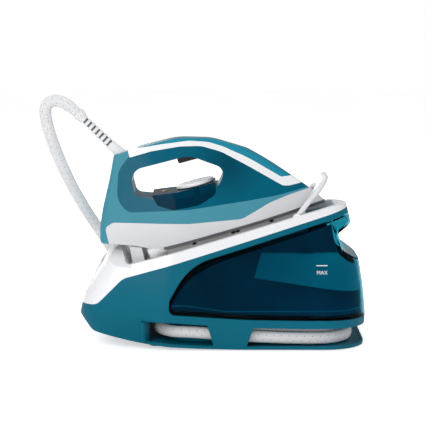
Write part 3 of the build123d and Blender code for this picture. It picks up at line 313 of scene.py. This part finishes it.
def ribbed(name, colour, painted_rib_shade):
    """Soft white plastic of the strain relief, with painted shade in the grooves between its ribs."""
    r = Recipe(name)
    cloud = r.noise(80.0, 3.0)
    from_root = r.vector_math("SUBTRACT", r.place, tuple(RELIEF_ROOT), "Vector")
    along = r.vector_math("DOT_PRODUCT", from_root, tuple(RELIEF_OUT))
    # painted shade: a thin dark ring every 7 mm along the relief, in its grooves
    turn = r.math("FRACT", r.math("DIVIDE", r.less(along, 0.018), 0.007))
    groove = r.times(r.map(turn, 1.0, 0.0, 0.40, 0.45), r.math("GREATER_THAN", along, 0.0175))
    groove = r.times(groove, r.math("LESS_THAN", along, 0.0645))
    tone = r.blend(r.map(cloud, 0.0, 1.0), shade(colour, 0.96), shade(colour, 1.02))
    return r.finish(Base_Color=r.blend(groove, tone, painted_rib_shade), Roughness=r.map(cloud, 0.42, 0.55),
                    Specular_IOR_Level=0.3, Normal=r.bump(cloud, 0.0005, 0.06))


base_finish = moulded("base_teal", srgb(0, 97, 119), 0.42, grain=0.12, drift=0.05, spec=0.14,
                      deep=srgb(0, 88, 100))
cover_finish = moulded("cover_white", srgb(232, 233, 236), 0.30, drift=0.012, coat=0.1, specks=0.02,
                       deep=srgb(224, 225, 228))
iron_light_finish = moulded("iron_teal", srgb(70, 139, 157), 0.46, grain=0.12, drift=0.03, spec=0.08)
# the last colour is painted shade ahead of the handle's opening
iron_dark_finish = teal_with_painted_shade("iron_gloss_teal", srgb(0, 90, 113), srgb(0, 62, 84))
# the second colour is a painted highlight on the cover's sides
iron_cover_finish = cover_with_painted_sheen("handle_cover_teal", srgb(0, 112, 132), srgb(26, 134, 160))
trim_finish = moulded("trim_white", srgb(234, 235, 237), 0.24, drift=0.012, coat=0.2, specks=0.02,
                      deep=srgb(226, 227, 230))
skirt_finish = moulded("skirt_white", srgb(206, 207, 210), 0.34, drift=0.015, spec=0.4, specks=0.03)
rubber_finish = moulded("black_rubber", srgb(20, 20, 22), 0.7, grain=0.4, drift=0.15)
pad_finish = moulded("pad_rubber", srgb(158, 156, 154), 0.75, grain=0.4, drift=0.12, spec=0.2)
black_finish = moulded("black_plastic", srgb(20, 21, 24), 0.4, grain=0.2, drift=0.1)
panel_finish = moulded("panel_grey", srgb(70, 74, 78), 0.4, grain=0.3)
grey_finish = moulded("seal_grey", srgb(140, 142, 145), 0.6, grain=0.2)
# the grey is painted shade in the relief's rib grooves
relief_finish = ribbed("relief_white", srgb(226, 227, 229), srgb(112, 112, 116))
dial_finish = moulded("dial_white", srgb(246, 247, 248), 0.3, drift=0.01)
heel_finish = moulded("heel_white", srgb(214, 215, 218), 0.45, grain=0.15, drift=0.03)
board_finish = moulded("board_green", srgb(24, 92, 48), 0.4)
mica_finish = moulded("band_mica", srgb(170, 140, 96), 0.6, grain=0.3)
steel_finish = metal("steel", srgb(190, 190, 192), 0.28)
sole_finish = metal("sole_metal", srgb(128, 130, 134), 0.42, 0.05)
alloy_finish = metal("cast_alloy", srgb(160, 160, 162), 0.5, 0.2)
brass_finish = metal("valve_brass", srgb(200, 160, 90), 0.32)
boiler_finish = metal("boiler_metal", srgb(188, 188, 190), 0.35, 0.1)


def clear(name, colour, rough, through, ior=1.46, spec=0.5):
    """Tinted clear plastic: light passes through a coloured body with faint flow marks and cloudy tint."""
    r = Recipe(name)
    slow, mid = r.noise(14.0, 2.0), r.noise(60.0, 3.0)
    tone = r.blend(r.map(slow, 0.0, 1.0), shade(colour, 0.94), shade(colour, 1.06))
    return r.finish(Base_Color=tone, Roughness=r.map(mid, rough, rough + 0.04), IOR=ior,
                    Specular_IOR_Level=spec, Transmission_Weight=through, Normal=r.bump(slow, 0.001, 0.03))


def milky():
    """Frosted, milky plastic with faint flow marks."""
    r = Recipe("hoop_frosted")
    cloud = r.noise(70.0, 3.0)
    tone = r.blend(r.map(cloud, 0.0, 1.0), srgb(214, 215, 218), srgb(224, 224, 227))
    return r.finish(Base_Color=tone, Roughness=r.map(cloud, 0.30, 0.40),
                    Normal=r.bump(cloud, 0.001, 0.04), Specular_IOR_Level=0.4)


tank_finish = clear("tank_tint", srgb(92, 188, 202), 0.01, 1.0, ior=1.13)
pod_finish = clear("pod_smoke", srgb(0, 58, 82), 0.04, 0.5, ior=1.12, spec=0.3)
lens_finish = clear("lens_amber", srgb(255, 170, 60), 0.1, 0.6)

# ---------------------------------------------------------------- camera
camera = bpy.data.objects.new("camera", bpy.data.cameras.new("camera"))
camera.location = (-0.01095, -2.0, 0.433)
camera.rotation_euler = (radians(82.3), 0.0, 0.0)
camera.data.lens = 128.79
camera.data.sensor_width = 36.0
scene.collection.objects.link(camera)
scene.camera = camera

# ---------------------------------------------------------------- steam hose
HOSE_WIDTH, HOSE_THICKNESS = 0.0155, 0.0105
HOSE_NECK = 0.0124                 # the round end that goes into the strain relief
HOSE_GIRTH = 0.0413                # distance once round the oval
HOSE_STEP, HOSE_SIDES = 0.0018, 28     # distance between its rings, and their corners
NECK_LENGTH = 0.016                # the round end swells to the full oval over this length
TURN_START, TURN_LENGTH = 0.30, 0.14   # along the hose, where the flat oval turns on its edge for the groove
DRUM_HALF, DRUM_REAR, DRUM_FRONT = 0.072, -0.070, 0.149
CORNER_FRONT, CORNER_REAR = 0.034, 0.030       # corner radii of the drum
OUTER_STRAND, INNER_STRAND = 0.0177, 0.0067    # middle of each strand, out from the drum
STRAND_RISE = 0.0030               # the inner strand lies this much higher

# Stations round the drum: how far towards an end (1 front, -1 rear), which side, and the direction outwards in
# degrees from +Y, turning by way of +X.
AROUND = np.array([
    (0.00, 1, 0), (0.55, 1, 0), (1.0, 1, 0), (1.0, 1, 28), (1.0, 1, 60), (1.0, 1, 90),
    (1.0, -1, 90), (1.0, -1, 120), (1.0, -1, 152), (1.0, -1, 180), (0.45, -1, 180), (-0.1, -1, 180),
    (-0.6, -1, 180), (-1.0, -1, 180), (-1.0, -1, 208), (-1.0, -1, 240), (-1.0, -1, 270),
    (-1.0, 1, 270), (-1.0, 1, 300), (-1.0, 1, 332), (-1.0, 1, 360), (-0.5, 1, 360),
])


def wound_points():
    """One and a half turns round the drum: every station of AROUND is a corner's centre plus a radius in its
    direction. The radius shrinks from the outer strand to the inner one behind the rear wall, and the height
    follows the groove, low at the front and higher past the middle, with the inner strand a little higher."""
    count = len(AROUND)
    step = np.arange(count + 12)
    end, side, aim = AROUND[step % count].T
    inner = np.interp(step, [0, 14, 20, 60], [0.0, 0.0, 1.0, 1.0])
    corner = np.where(end > 0, CORNER_FRONT, CORNER_REAR)
    strand = OUTER_STRAND + inner * (INNER_STRAND - OUTER_STRAND)
    pull = np.where((aim % 90) > 0, 1.02, 1.0)   # points on a bend lie a little outside of its arc
    radius = (corner + strand) * pull
    middle, reach = (DRUM_FRONT + DRUM_REAR) / 2, (DRUM_FRONT - DRUM_REAR) / 2
    x = middle + end * (reach - corner) + radius * np.sin(np.radians(aim))
    y = side * (DRUM_HALF - corner) + radius * np.cos(np.radians(aim))
    height = np.interp(x, [-0.095, -0.070, -0.040, 0.0, 0.040, 0.087, 0.160],
                       [0.0206, 0.0210, 0.0214, 0.0186, 0.0154, 0.0136, 0.0128])
    return np.stack([x, y, height + inner * STRAND_RISE], 1)


# from the strain relief down behind the base and into the groove, and the end in the gland
HOSE_FREE = [
    (-0.188663, 0.0, 0.295014), (-0.201676, 0.0, 0.307450), (-0.220, 0.0015, 0.313), (-0.232, 0.0045, 0.3045),
    (-0.2315, 0.0095, 0.285), (-0.224, 0.0185, 0.254), (-0.206, 0.033, 0.205), (-0.183, 0.055, 0.158),
    (-0.168, 0.073, 0.131), (-0.155, 0.0886, 0.1076), (-0.1476, 0.1012, 0.0888), (-0.1385, 0.1079, 0.068),
    (-0.1253, 0.1094, 0.0484), (-0.1076, 0.1079, 0.0329), (-0.0866, 0.1039, 0.0228), (-0.064, 0.0981, 0.0198),
    (-0.0409, 0.0916, 0.0200), (-0.0174, 0.0898, 0.0193), (0.010, 0.0897, 0.0176),
]
HOSE_END = [(0.012, -0.0782, 0.0200), (-0.003, -0.0760, 0.0192), (-0.0125, -0.0712, 0.0187)]


def spline_line(points):
    """The smooth line of a cord: a NURBS curve over its control points, read back as an array."""
    curve = bpy.data.curves.new("hose_route", "CURVE")
    curve.dimensions = "3D"
    curve.resolution_u = 14
    spline = curve.splines.new("NURBS")
    spline.points.add(len(points) - 1)
    spline.points.foreach_set("co", np.hstack([points, np.ones((len(points), 1))]).ravel())
    spline.order_u = 3
    spline.use_endpoint_u = True
    holder = bpy.data.objects.new("hose_route", curve)
    scene.collection.objects.link(holder)
    bpy.context.view_layer.update()
    line = corner_places(bpy.data.meshes.new_from_object(holder))
    bpy.data.objects.remove(holder)
    return line


def evenly(line, spacing):
    """The same line with points at an even spacing, and the distance along it to each of them."""
    s = np.concatenate([[0.0], np.cumsum(np.linalg.norm(np.diff(line, axis=0), axis=1))])
    at = np.linspace(0, s[-1], int(round(s[-1] / spacing)) + 1)
    return np.stack([np.interp(at, s, line[:, k]) for k in range(3)], 1), at


def unit(v):
    """Vectors divided by their own lengths."""
    return v / np.maximum(np.linalg.norm(v, axis=-1, keepdims=True), 1e-12)


def tube(line, wide_hint, half_wide, half_thin, sides):
    """An oval carried along a line: each ring is centre + half_wide*cos(a)*wide + half_thin*sin(a)*thin, with
    wide the hint squared to the line and thin square to both."""
    forward = unit(np.gradient(line, axis=0))
    wide = unit(wide_hint - forward * np.sum(wide_hint * forward, 1, keepdims=True))
    thin = np.cross(forward, wide)
    a = np.linspace(0, 2 * pi, sides, endpoint=False)
    wide, thin = half_wide[:, None] * wide, half_thin[:, None] * thin
    rings = line[:, None] + turned(a, wide[:, None], thin[:, None])
    return rings.reshape(-1, 3), tube_faces(len(line), sides)


def hose_weave():
    """Braided hose sleeve: two crossing families of threads with soft ribs between them, and dark tracer specks
    in slanting rows, which are the ovals at the middles of a lattice's cells."""
    r = Recipe("hose_weave")
    u, v, _ = r.split(r.add("UVMap", uv_map="length_round").outputs["UV"])
    pitch = 2 * pi / 0.0016
    cloth = r.math("MAXIMUM", r.math("SINE", r.times(r.math("ADD", u, v), pitch)),
                   r.math("SINE", r.times(r.less(u, v), pitch)))
    row = r.math("DIVIDE", v, 0.0052)
    along = r.math("ADD", r.math("DIVIDE", u, 0.0098), r.times(r.math("FLOOR", row), 0.37))
    off_middle = [r.times(r.math("ABSOLUTE", r.less(r.math("FRACT", at), 0.5)), size)
                  for at, size in ((along, 13.5), (row, 9.0))]
    far = r.math("ADD", *(r.math("POWER", off, 2.0) for off in off_middle))
    speck = r.map(far, 1.0, 0.0, 0.35, 1.1)
    fuzz = r.noise(2200.0, 2.0)
    ground = r.blend(r.map(cloth, 0.0, 1.0, -0.6, 1.0), srgb(216, 217, 219), srgb(242, 242, 243))
    ground = r.blend(r.map(r.noise(60.0, 3.0), 0.0, 0.35), ground, srgb(222, 222, 224))
    tone = r.blend(r.times(speck, 0.75), ground, srgb(84, 88, 98))
    height = r.math("ADD", cloth, r.times(fuzz, 0.8))
    return r.finish(Base_Color=tone, Roughness=r.map(fuzz, 0.72, 0.9), Normal=r.bump(height, 0.0003, 0.7),
                    Sheen_Weight=0.25, Sheen_Roughness=0.5)


hose_line, hose_at = evenly(spline_line(np.vstack([HOSE_FREE, wound_points()[1:], HOSE_END])), HOSE_STEP)
lying = np.cross(unit(np.gradient(hose_line, axis=0)), ACROSS)
upright = np.array([0.0, 0.0, 1.0])
wide_side = lying + eased((hose_at - TURN_START) / TURN_LENGTH)[:, None] * (upright - lying)
swell = np.clip(hose_at / NECK_LENGTH, 0, 1)
half_sizes = ((HOSE_NECK + swell * (full - HOSE_NECK)) / 2 for full in (HOSE_WIDTH, HOSE_THICKNESS))
points, faces = tube(hose_line, wide_side, *half_sizes, HOSE_SIDES)
girth = np.arange(HOSE_SIDES) * HOSE_GIRTH / HOSE_SIDES
uv = np.stack(np.broadcast_arrays(hose_at[:, None], girth[None, :]), -1).reshape(-1, 2)
hose = piece("steam_hose", points, faces, None, hose_weave(), "hose_cloth", uv=uv)
outward(hose)
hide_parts("steam_hose_loop", "steam_hose_tail", "steam_hose_coil")
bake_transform(hose)

# ---------------------------------------------------------------- shells of the base and the iron
FINISHES = {
    "bottom_plate": base_finish, "base_housing": base_finish, "top_cover": cover_finish,
    "water_tank": tank_finish, "rubber_feet": rubber_finish, "base_screws": steel_finish,
    "tank_seal": rubber_finish, "cord_gland": black_finish, "hose_gland": grey_finish,
    "control_panel": panel_finish, "indicator_lenses": lens_finish, "power_button": cover_finish,
    "eco_button": cover_finish, "boiler": boiler_finish, "heater_band": mica_finish,
    "steam_valve": brass_finish, "pump": black_finish, "control_board": board_finish,
    "hoop_pins": steel_finish, "rest_pads": pad_finish, "heel_support": heel_finish,
    "iron_skirt": skirt_finish, "iron_body": iron_light_finish, "handle_shell": iron_dark_finish,
    "side_trim": trim_finish, "handle_cover": iron_cover_finish, "control_pod": pod_finish,
    "pilot_lens": lens_finish, "temperature_dial": dial_finish, "dial_shaft": black_finish,
    "steam_trigger": black_finish, "trigger_spring": steel_finish, "microswitch": black_finish,
    "soleplate": sole_finish, "steam_chamber": alloy_finish, "heating_element": steel_finish,
    "thermostat": steel_finish, "iron_screws": steel_finish, "hose_collar": relief_finish,
    "hose_strain_relief": relief_finish,
}
skins = {node: shell(node, finish) for node, finish in FINISHES.items()}

# ---------------------------------------------------------------- carrying lock
HOOP_PIVOT, HOOP_LEAN = np.array([0.098, 0.0, 0.1618]), radians(53.0)
HOOP_TOP, HOOP_HALF, HOOP_BEND = 0.0550, 0.0365, 0.020   # reach of its cross part, half span and corner
ARM_SECTION, GRIP_SECTION = (0.0030, 0.0034), (0.0120, 0.0050)   # half sizes of the two ovals
HOOP_RINGS, HOOP_SIDES = 121, 36
hoop_out = np.array([cos(HOOP_LEAN), 0.0, sin(HOOP_LEAN)])


def hoop_bow():
    """A bow from one pivot to the other: up one arm, round a corner, across and down again. Its section is an
    oval, slim at the arms and widened to a grip across the top, with rounded ends at the pivots. Round a corner
    of radius b, at the angle t, the way out is b*sin(t) and the way across b*(1 - cos(t))."""
    arm = HOOP_TOP - HOOP_BEND
    quarter, across = HOOP_BEND * pi / 2, 2 * (HOOP_HALF - HOOP_BEND)
    way = np.linspace(0, 1, HOOP_RINGS) * (2 * arm + 2 * quarter + across)
    first = np.clip(way, 0, arm)
    turn = np.clip((way - arm) / HOOP_BEND, 0, pi / 2)
    middle = np.clip(way - arm - quarter, 0, across)
    last_turn = np.clip((way - arm - quarter - across) / HOOP_BEND, 0, pi / 2)
    last = np.clip(way - arm - 2 * quarter - across, 0, arm)
    y = -HOOP_HALF + HOOP_BEND * (1 - np.cos(turn)) + middle + HOOP_BEND * np.sin(last_turn)
    out = first + HOOP_BEND * np.sin(turn) - HOOP_BEND * (1 - np.cos(last_turn)) - last
    line = HOOP_PIVOT + out[:, None] * hoop_out + y[:, None] * ACROSS
    grip = eased((out - 0.022) / 0.032)
    near_end = np.clip(np.minimum(way, way[-1] - way) / 0.003, 0, 1)
    close = np.sqrt(np.clip(1 - (1 - near_end) ** 2, 0.02, 1))
    inward = unit(np.cross(unit(np.gradient(line, axis=0)), np.cross(hoop_out, ACROSS)))
    half_sizes = ((slim + (full - slim) * grip) * close for slim, full in zip(ARM_SECTION, GRIP_SECTION))
    return tube(line, inward, *half_sizes, HOOP_SIDES)


points, faces = hoop_bow()
bow = outward(piece("hoop_bow", points, faces, nodes["lock_hoop"]["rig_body"], milky()))
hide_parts("lock_hoop")

# ---------------------------------------------------------------- painted liner inside the water tank
TANK_SKIN = 0.005                  # depth of the inner face behind the base's outline

# the base's half plan at four heights: half width at the waist and at the front, places of the waist and of the
# front along the base, and bend of the front corner
PLANS = {
    0.041: (0.106, 0.106, -0.075, 0.1860, 0.052), 0.085: (0.100, 0.092, -0.070, 0.1825, 0.054),
    0.140: (0.080, 0.058, -0.060, 0.1730, 0.046), 0.196: (0.058, 0.030, -0.050, 0.1600, 0.026),
}
PLAN_CURVES = [np.polyfit(list(PLANS), row, 3) for row in zip(*PLANS.values())]


def body_plan(height, inset):
    """The base's half plan at each height, every value a cubic through its four levels, drawn in by an inset,
    with the slant of the side and the centre of the front corner's arc, which is tangent to side and front."""
    waist, front, waist_x, front_x, bend = (np.polyval(curve, height) for curve in PLAN_CURVES)
    waist, front, front_x, bend = waist - inset, front - inset, front_x - inset, bend - inset
    slant = np.arctan2(waist - front, front_x - waist_x)
    centre_x, centre_y = front_x - bend, front - bend * np.tan((pi / 2 - slant) / 2)
    return waist, front, waist_x, front_x, bend, slant, centre_x, centre_y


def along_wall(station, height, inset):
    """A point of the wall for each station: 0 to 1 runs forward along the side, 1 to 2 round the front corner
    as centre + bend*(sin(turn), cos(turn)), and 2 to 3 across the front to the middle."""
    waist, _, waist_x, _, bend, slant, centre_x, centre_y = body_plan(height, inset)
    turn = slant + (pi / 2 - slant) * np.clip(station - 1, 0, 1)
    arc_x, arc_y = centre_x + bend * np.sin(turn), centre_y + bend * np.cos(turn)
    side = np.clip(station, 0, 1)
    start_x, start_y = centre_x + bend * np.sin(slant), centre_y + bend * np.cos(slant)
    x = np.where(station < 1, waist_x + (start_x - waist_x) * side, arc_x)
    y = np.where(station < 1, waist + (start_y - waist) * side, arc_y)
    return x, y * (1 - np.clip(station - 2, 0, 1))


# the tank's floor and its roof from the side, as heights along the base
TANK_FLOOR = np.array([(-0.065, 0.0520), (-0.040, 0.0504), (0.0, 0.0476), (0.036, 0.0457), (0.100, 0.0445)])
TANK_ROOF = np.array([
    (-0.064, 0.0555), (-0.057, 0.0700), (-0.050, 0.0815), (-0.040, 0.0925), (-0.020, 0.1045), (0.0, 0.1125),
    (0.040, 0.1240), (0.080, 0.1355), (0.120, 0.1470), (0.146, 0.1545), (0.1485, 0.1370), (0.154, 0.1180),
    (0.160, 0.1130), (0.172, 0.1045), (0.180, 0.1030),
])


def tank_inside():
    """The inner face of the tank's outer wall, as a sheet that carries painted light and shade. One direction
    of its grid runs along one side, round the front and back along the other; the other rises from floor to
    roof: z = floor + (roof - floor)*v."""
    half = np.concatenate([np.linspace(0.05, 1, 46), np.linspace(1, 2, 22)[1:], np.linspace(2, 3, 8)[1:]])
    station = np.concatenate([half, half[-2::-1]])
    hand = np.concatenate([-np.ones(len(half)), np.ones(len(half) - 1)])
    seen_x, _ = along_wall(station, np.full(len(station), 0.070), TANK_SKIN)
    low, high = (np.interp(seen_x, *line.T) for line in (TANK_FLOOR, TANK_ROOF))
    z = low + (high - low) * np.linspace(0, 1, 40)[:, None]
    x, y = along_wall(np.broadcast_to(station, z.shape), z, TANK_SKIN)
    return np.stack([x, y * hand, z], -1).reshape(-1, 3), grid_faces(*z.shape)


def tank_painted_light():
    """Painted light and shade of the tank's inside, on deep teal: a painted lit patch over the upper front
    part, whose edge slopes down to the front from a painted lit rear corner, painted shade below it with a
    painted glow towards the front, and a painted highlight line along the floor."""
    r = Recipe("tank_painted_light")
    x, _, z = r.split()
    mist = r.noise(26.0, 3.0)
    ahead, above = r.less(x, 0.041), r.less(z, 0.091)     # from the rear corner of the lit part
    over_edge = r.math("ADD", above, r.times(ahead, 0.150))
    past_rear = r.less(ahead, r.times(above, 0.32))
    under_roof = r.less(r.math("ADD", 0.1185, r.times(r.noise(38.0, 1.0), 0.004)), z)
    lit = r.times(r.map(over_edge, 0.0, 1.0, -0.0004, 0.0008), r.map(past_rear, 0.0, 1.0, -0.0004, 0.0012))
    lit = r.times(lit, r.map(under_roof, 0.0, 1.0, -0.001, 0.002))
    # painted light over the upper front part and painted shade below it
    bright = r.blend(r.map(x, 0.0, 1.0, 0.05, 0.17), srgb(0, 158, 180), srgb(60, 196, 216))
    shaded = r.blend(r.map(mist, 0.0, 1.0), srgb(0, 74, 98), srgb(0, 82, 108))
    glow = r.times(r.map(x, 0.0, 1.0, 0.03, 0.12), r.map(over_edge, 1.0, 0.0, -0.022, -0.004))
    tone = r.blend(lit, r.blend(glow, shaded, srgb(0, 96, 130)), bright)
    # painted highlight: a light line along the tank's floor
    highlight_line_at = r.math("ADD", 0.0500, r.times(r.map(x, 1.0, 0.0, -0.045, 0.004), 0.0070))
    ledge_highlight = r.map(r.math("ABSOLUTE", r.less(z, highlight_line_at)), 1.0, 0.0, 0.0003, 0.0011)
    tone = r.blend(r.times(ledge_highlight, 0.7), tone, srgb(60, 170, 200))
    return r.finish(Base_Color=tone, Roughness=r.map(mist, 0.42, 0.55), Specular_IOR_Level=0.1,
                    Normal=r.bump(mist, 0.001, 0.05))


points, faces = tank_inside()
# an opaque sheet inside the clear tank that carries the painted light and shade of its inside
piece("tank_painted_liner", points, faces, "tank", tank_painted_light())

# ---------------------------------------------------------------- soft end of the groove's side window
def window_ramp():
    """A bent wall from the window's rear edge into the groove, carried straight up. In plan it is a quarter of
    an ellipse, start + (0.0092*sin(t), 0.0260*(1 - cos(t))), which leaves the outer wall and turns in across
    the base, and the same line again 1.5 mm behind it."""
    t = np.linspace(0, pi / 2, 25)
    face = np.stack([-0.1012 + 0.0092 * np.sin(t), -0.1037 + 0.0260 * (1 - np.cos(t))], 1)
    outline = np.vstack([face, face[::-1] + (-0.0015, 0.0004)])
    rise = np.array([0.0098, 0.012, 0.020, 0.028, 0.035, 0.0364])
    plans = np.broadcast_to(outline, (len(rise),) + outline.shape)
    heights = np.broadcast_to(rise[:, None, None], (len(rise), len(outline), 1))
    return np.concatenate([plans, heights], -1).reshape(-1, 3), tube_faces(len(rise), len(outline))


points, faces = window_ramp()
ramp = outward(piece("window_ramp", points, faces, nodes["base_housing"]["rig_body"], base_finish))
ramp.data.set_sharp_from_angle(angle=radians(40))


# ---------------------------------------------------------------- printed marks
DOT_SIDES, ARC_STEPS = 14, 60


def dots(centres, right, up, radius):
    """Flat round dots: every ring is centre + radius*(cos(a)*right + sin(a)*up)."""
    a = np.linspace(0, 2 * pi, DOT_SIDES, endpoint=False)
    rings = centres[:, None] + radius * turned(a, right, up)
    return rings.reshape(-1, 3), np.arange(len(centres) * DOT_SIDES).reshape(-1, DOT_SIDES)


def arc_band(centre, right, up, radius, width, start, end):
    """A flat band along an arc between two angles in degrees: an inner and an outer row of points, each
    centre + (radius -+ width/2)*(cos(a)*right + sin(a)*up)."""
    reach = radius + np.array([-width / 2, width / 2])[:, None, None]
    band = centre + reach * turned(np.radians(np.linspace(start, end, ARC_STEPS)), right, up)
    return band.reshape(-1, 3), grid_faces(2, ARC_STEPS)


def lettering(name, words, size):
    """Flat letters as an array of points and a list of faces, read from a text made a mesh."""
    text = bpy.data.curves.new(name, "FONT")
    text.body, text.size, text.align_x, text.resolution_u = words, size, "CENTER", 6
    holder = bpy.data.objects.new(name, text)
    scene.collection.objects.link(holder)
    bpy.context.view_layer.update()
    read = bpy.data.meshes.new_from_object(holder)
    bpy.data.objects.remove(holder)
    return corner_places(read), [tuple(face.vertices) for face in read.polygons]


def printed(name, colour):
    """Printing ink with a slightly worn, uneven tone."""
    r = Recipe(name)
    wear = r.noise(420.0, 3.0)
    tone = r.blend(r.map(wear, 0.0, 1.0), shade(colour, 0.92), colour)
    return r.finish(Base_Color=tone, Roughness=r.map(wear, 0.4, 0.6), Specular_IOR_Level=0.3)


ink_grey, ink_white = printed("ink_grey", srgb(96, 100, 106)), printed("ink_white", srgb(232, 236, 238))

# the dial's marks: one, two and three dots, the highest setting's dot, an arc inside them and a word
DIAL_TILT = radians(14.0)
dial_right = np.array([cos(DIAL_TILT), 0.0, sin(DIAL_TILT)])
dial_axis = np.array([-sin(DIAL_TILT), 0.0, cos(DIAL_TILT)])
dial_top = HEEL + 0.059 * ALONG + 0.0669 * UPWARD + 0.00472 * dial_axis
dial_body = nodes["temperature_dial"]["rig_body"]
dot_places = dial_top + 0.0195 * turned(np.radians([150, 118, 112, 86, 80, 74, 30]), dial_right, ACROSS)
piece("dial_dots", *dots(dot_places, dial_right, ACROSS, 0.0008), dial_body, ink_grey)
piece("dial_arc", *arc_band(dial_top, dial_right, ACROSS, 0.0150, 0.0006, 30, 330), dial_body, ink_grey)
letters, faces = lettering("dial_word", "MAX", 0.0062)
flat = dial_top + letters[:, :1] * dial_right + (letters[:, 1:2] - 0.0022) * ACROSS
piece("dial_word", flat, faces, dial_body, ink_grey, smooth=False)


def wall_reach(x, height):
    """Half width of the base at a place along it and a height: the slanted side, or the front corner's arc,
    centre + the root of (bend squared - distance from the centre squared)."""
    waist, front, waist_x, front_x, bend, slant, centre_x, centre_y = body_plan(height, 0.0)
    side = waist + (front - waist) * (x - waist_x) / (front_x - waist_x)
    arc = centre_y + np.sqrt(np.clip(bend ** 2 - (x - centre_x) ** 2, 0, None))
    return np.where(x < centre_x + bend * np.sin(slant), side, arc)


LEVEL_PLACE = (0.1280, 0.0955)     # middle of the level word's baseline, along the base and up


def on_tank(flat):
    """Flat points laid round the level mark's place on the tank's right-hand wall, 0.25 mm proud of it."""
    x, z = (flat[:, :2] + LEVEL_PLACE).T
    return np.stack([x, -wall_reach(x, z) - 0.00025, z], 1)


letters, faces = lettering("level_word", "MAX", 0.0066)
piece("level_word", on_tank(letters), faces, "tank", ink_white, smooth=False)
bar = np.stack(np.meshgrid(np.linspace(-0.0072, 0.0072, 12), [0.0100, 0.0110], indexing="ij"), -1)
piece("level_line", on_tank(bar.reshape(-1, 2)), grid_faces(12, 2), "tank", ink_white)

PANEL_TILT = radians(33.0)
panel_out = np.array([-cos(PANEL_TILT), 0.0, sin(PANEL_TILT)])
panel_up = np.array([sin(PANEL_TILT), 0.0, cos(PANEL_TILT)])
PANEL_MIDDLE = np.array([-0.1594, 0.0, 0.0960])


def button_top(node, across):
    """Middle of a button's face: the panel's middle, moved across and out to 0.15 mm past the button's furthest
    point."""
    height = ((corner_places(nodes[node].data) - PANEL_MIDDLE) @ panel_out).max()
    return PANEL_MIDDLE + across * ACROSS + panel_out * (height + 0.00015)


power_spot, eco_spot = button_top("power_button", 0.026), button_top("eco_button", -0.026)
power_body, eco_body = nodes["power_button"]["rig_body"], nodes["eco_button"]["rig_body"]
piece("power_ring", *arc_band(power_spot, -ACROSS, panel_up, 0.0030, 0.0007, -235, 55), power_body, ink_grey)
stroke = np.array([(-0.00035, 0.0008), (0.00035, 0.0008), (0.00035, 0.0040), (-0.00035, 0.0040)])
flat = power_spot - stroke[:, :1] * ACROSS + stroke[:, 1:] * panel_up
piece("power_stroke", flat, [(0, 1, 2, 3)], power_body, ink_grey, smooth=False)
letters, faces = lettering("eco_word", "ECO", 0.0046)
flat = eco_spot - letters[:, :1] * ACROSS + (letters[:, 1:2] - 0.0016) * panel_up
piece("eco_word", flat, faces, eco_body, ink_grey, smooth=False)

# the trigger's spring: a mesh of its own, and the heights of its points up the iron
spring = skins["trigger_spring"]
heights = corner_places(spring.data) @ UPWARD
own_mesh(spring)

# ---------------------------------------------------------------- floor, backdrop and light
def studio_floor():
    """Pale floor that shows white where it is fully lit and keeps the soft shadow under the object."""
    r = Recipe("studio_floor")
    seen = r.add("LightPath").outputs["Is Camera Ray"]
    tone = r.blend(r.map(r.noise(3.0, 2.0), 0.0, 1.0), srgb(236, 236, 237), srgb(240, 240, 241))
    matt = r.add("BsdfDiffuse", {"Color": tone}).outputs[0]
    lift = r.add("Emission", {"Color": (1, 1, 1, 1), "Strength": r.times(seen, 0.56)}).outputs[0]
    r.add("OutputMaterial", {"Surface": r.add("AddShader", {0: matt, 1: lift}).outputs[0]})
    return r.material


floor_corners = [(-6, -6, 0), (6, -6, 0), (6, 6, 0), (-6, 6, 0)]
floor = piece("studio_floor", floor_corners, [(0, 1, 2, 3)], None, studio_floor())

world = bpy.data.worlds.new("studio")
scene.world = world
world.use_nodes = True
sky = world.node_tree
background = sky.nodes["Background"]
background.inputs["Color"].default_value = (1, 1, 1, 1)
light_path = sky.nodes.new("ShaderNodeLightPath")

# Strength of the surroundings as fill, as seen in reflections, and as seen straight or through clear parts.
# Each math node adds what its kind of ray has over the fill.
FILL, REFLECTED, SEEN = 0.50, 0.30, 1.0
strength = None
for ray, wanted in (("Glossy", REFLECTED), ("Camera", SEEN), ("Transmission", SEEN)):
    term = sky.nodes.new("ShaderNodeMath")
    term.operation = "MULTIPLY_ADD"
    term.inputs[1].default_value = wanted - FILL
    term.inputs[2].default_value = FILL
    sky.links.new(light_path.outputs[f"Is {ray} Ray"], term.inputs[0])
    if strength:
        sky.links.new(strength, term.inputs[2])
    strength = term.outputs[0]
sky.links.new(strength, background.inputs["Strength"])


def softbox(name, place, aim, size, power, mirrored=True):
    """A rectangular lamp at a place, turned to face a point, which may show in reflections."""
    lamp = bpy.data.lights.new(name, "AREA")
    lamp.shape, lamp.size, lamp.size_y, lamp.energy = "RECTANGLE", size[0], size[1], power
    holder = bpy.data.objects.new(name, lamp)
    scene.collection.objects.link(holder)
    holder.location = place
    holder.rotation_euler = (Vector(aim) - Vector(place)).to_track_quat("-Z", "Y").to_euler()
    holder.visible_transmission = False
    holder.visible_glossy = mirrored


softbox("key", (-0.95, -1.75, 1.35), (0, 0, 0.12), (1.2, 1.2), 19.0)
softbox("rim", (1.7, 0.55, 0.5), (0.1, 0, 0.12), (0.9, 1.4), 4.0, mirrored=False)
softbox("top", (0.2, 0.6, 1.9), (0, 0, 0.1), (1.4, 1.0), 11.0)
softbox("back", (-0.8, 1.5, 0.75), (-0.03, 0, 0.2), (1.2, 1.0), 15.0)
softbox("low", (-0.1, -1.7, 0.10), (0.0, 0, 0.04), (1.8, 0.25), 8.0, mirrored=False)

scene.view_settings.view_transform = "Standard"
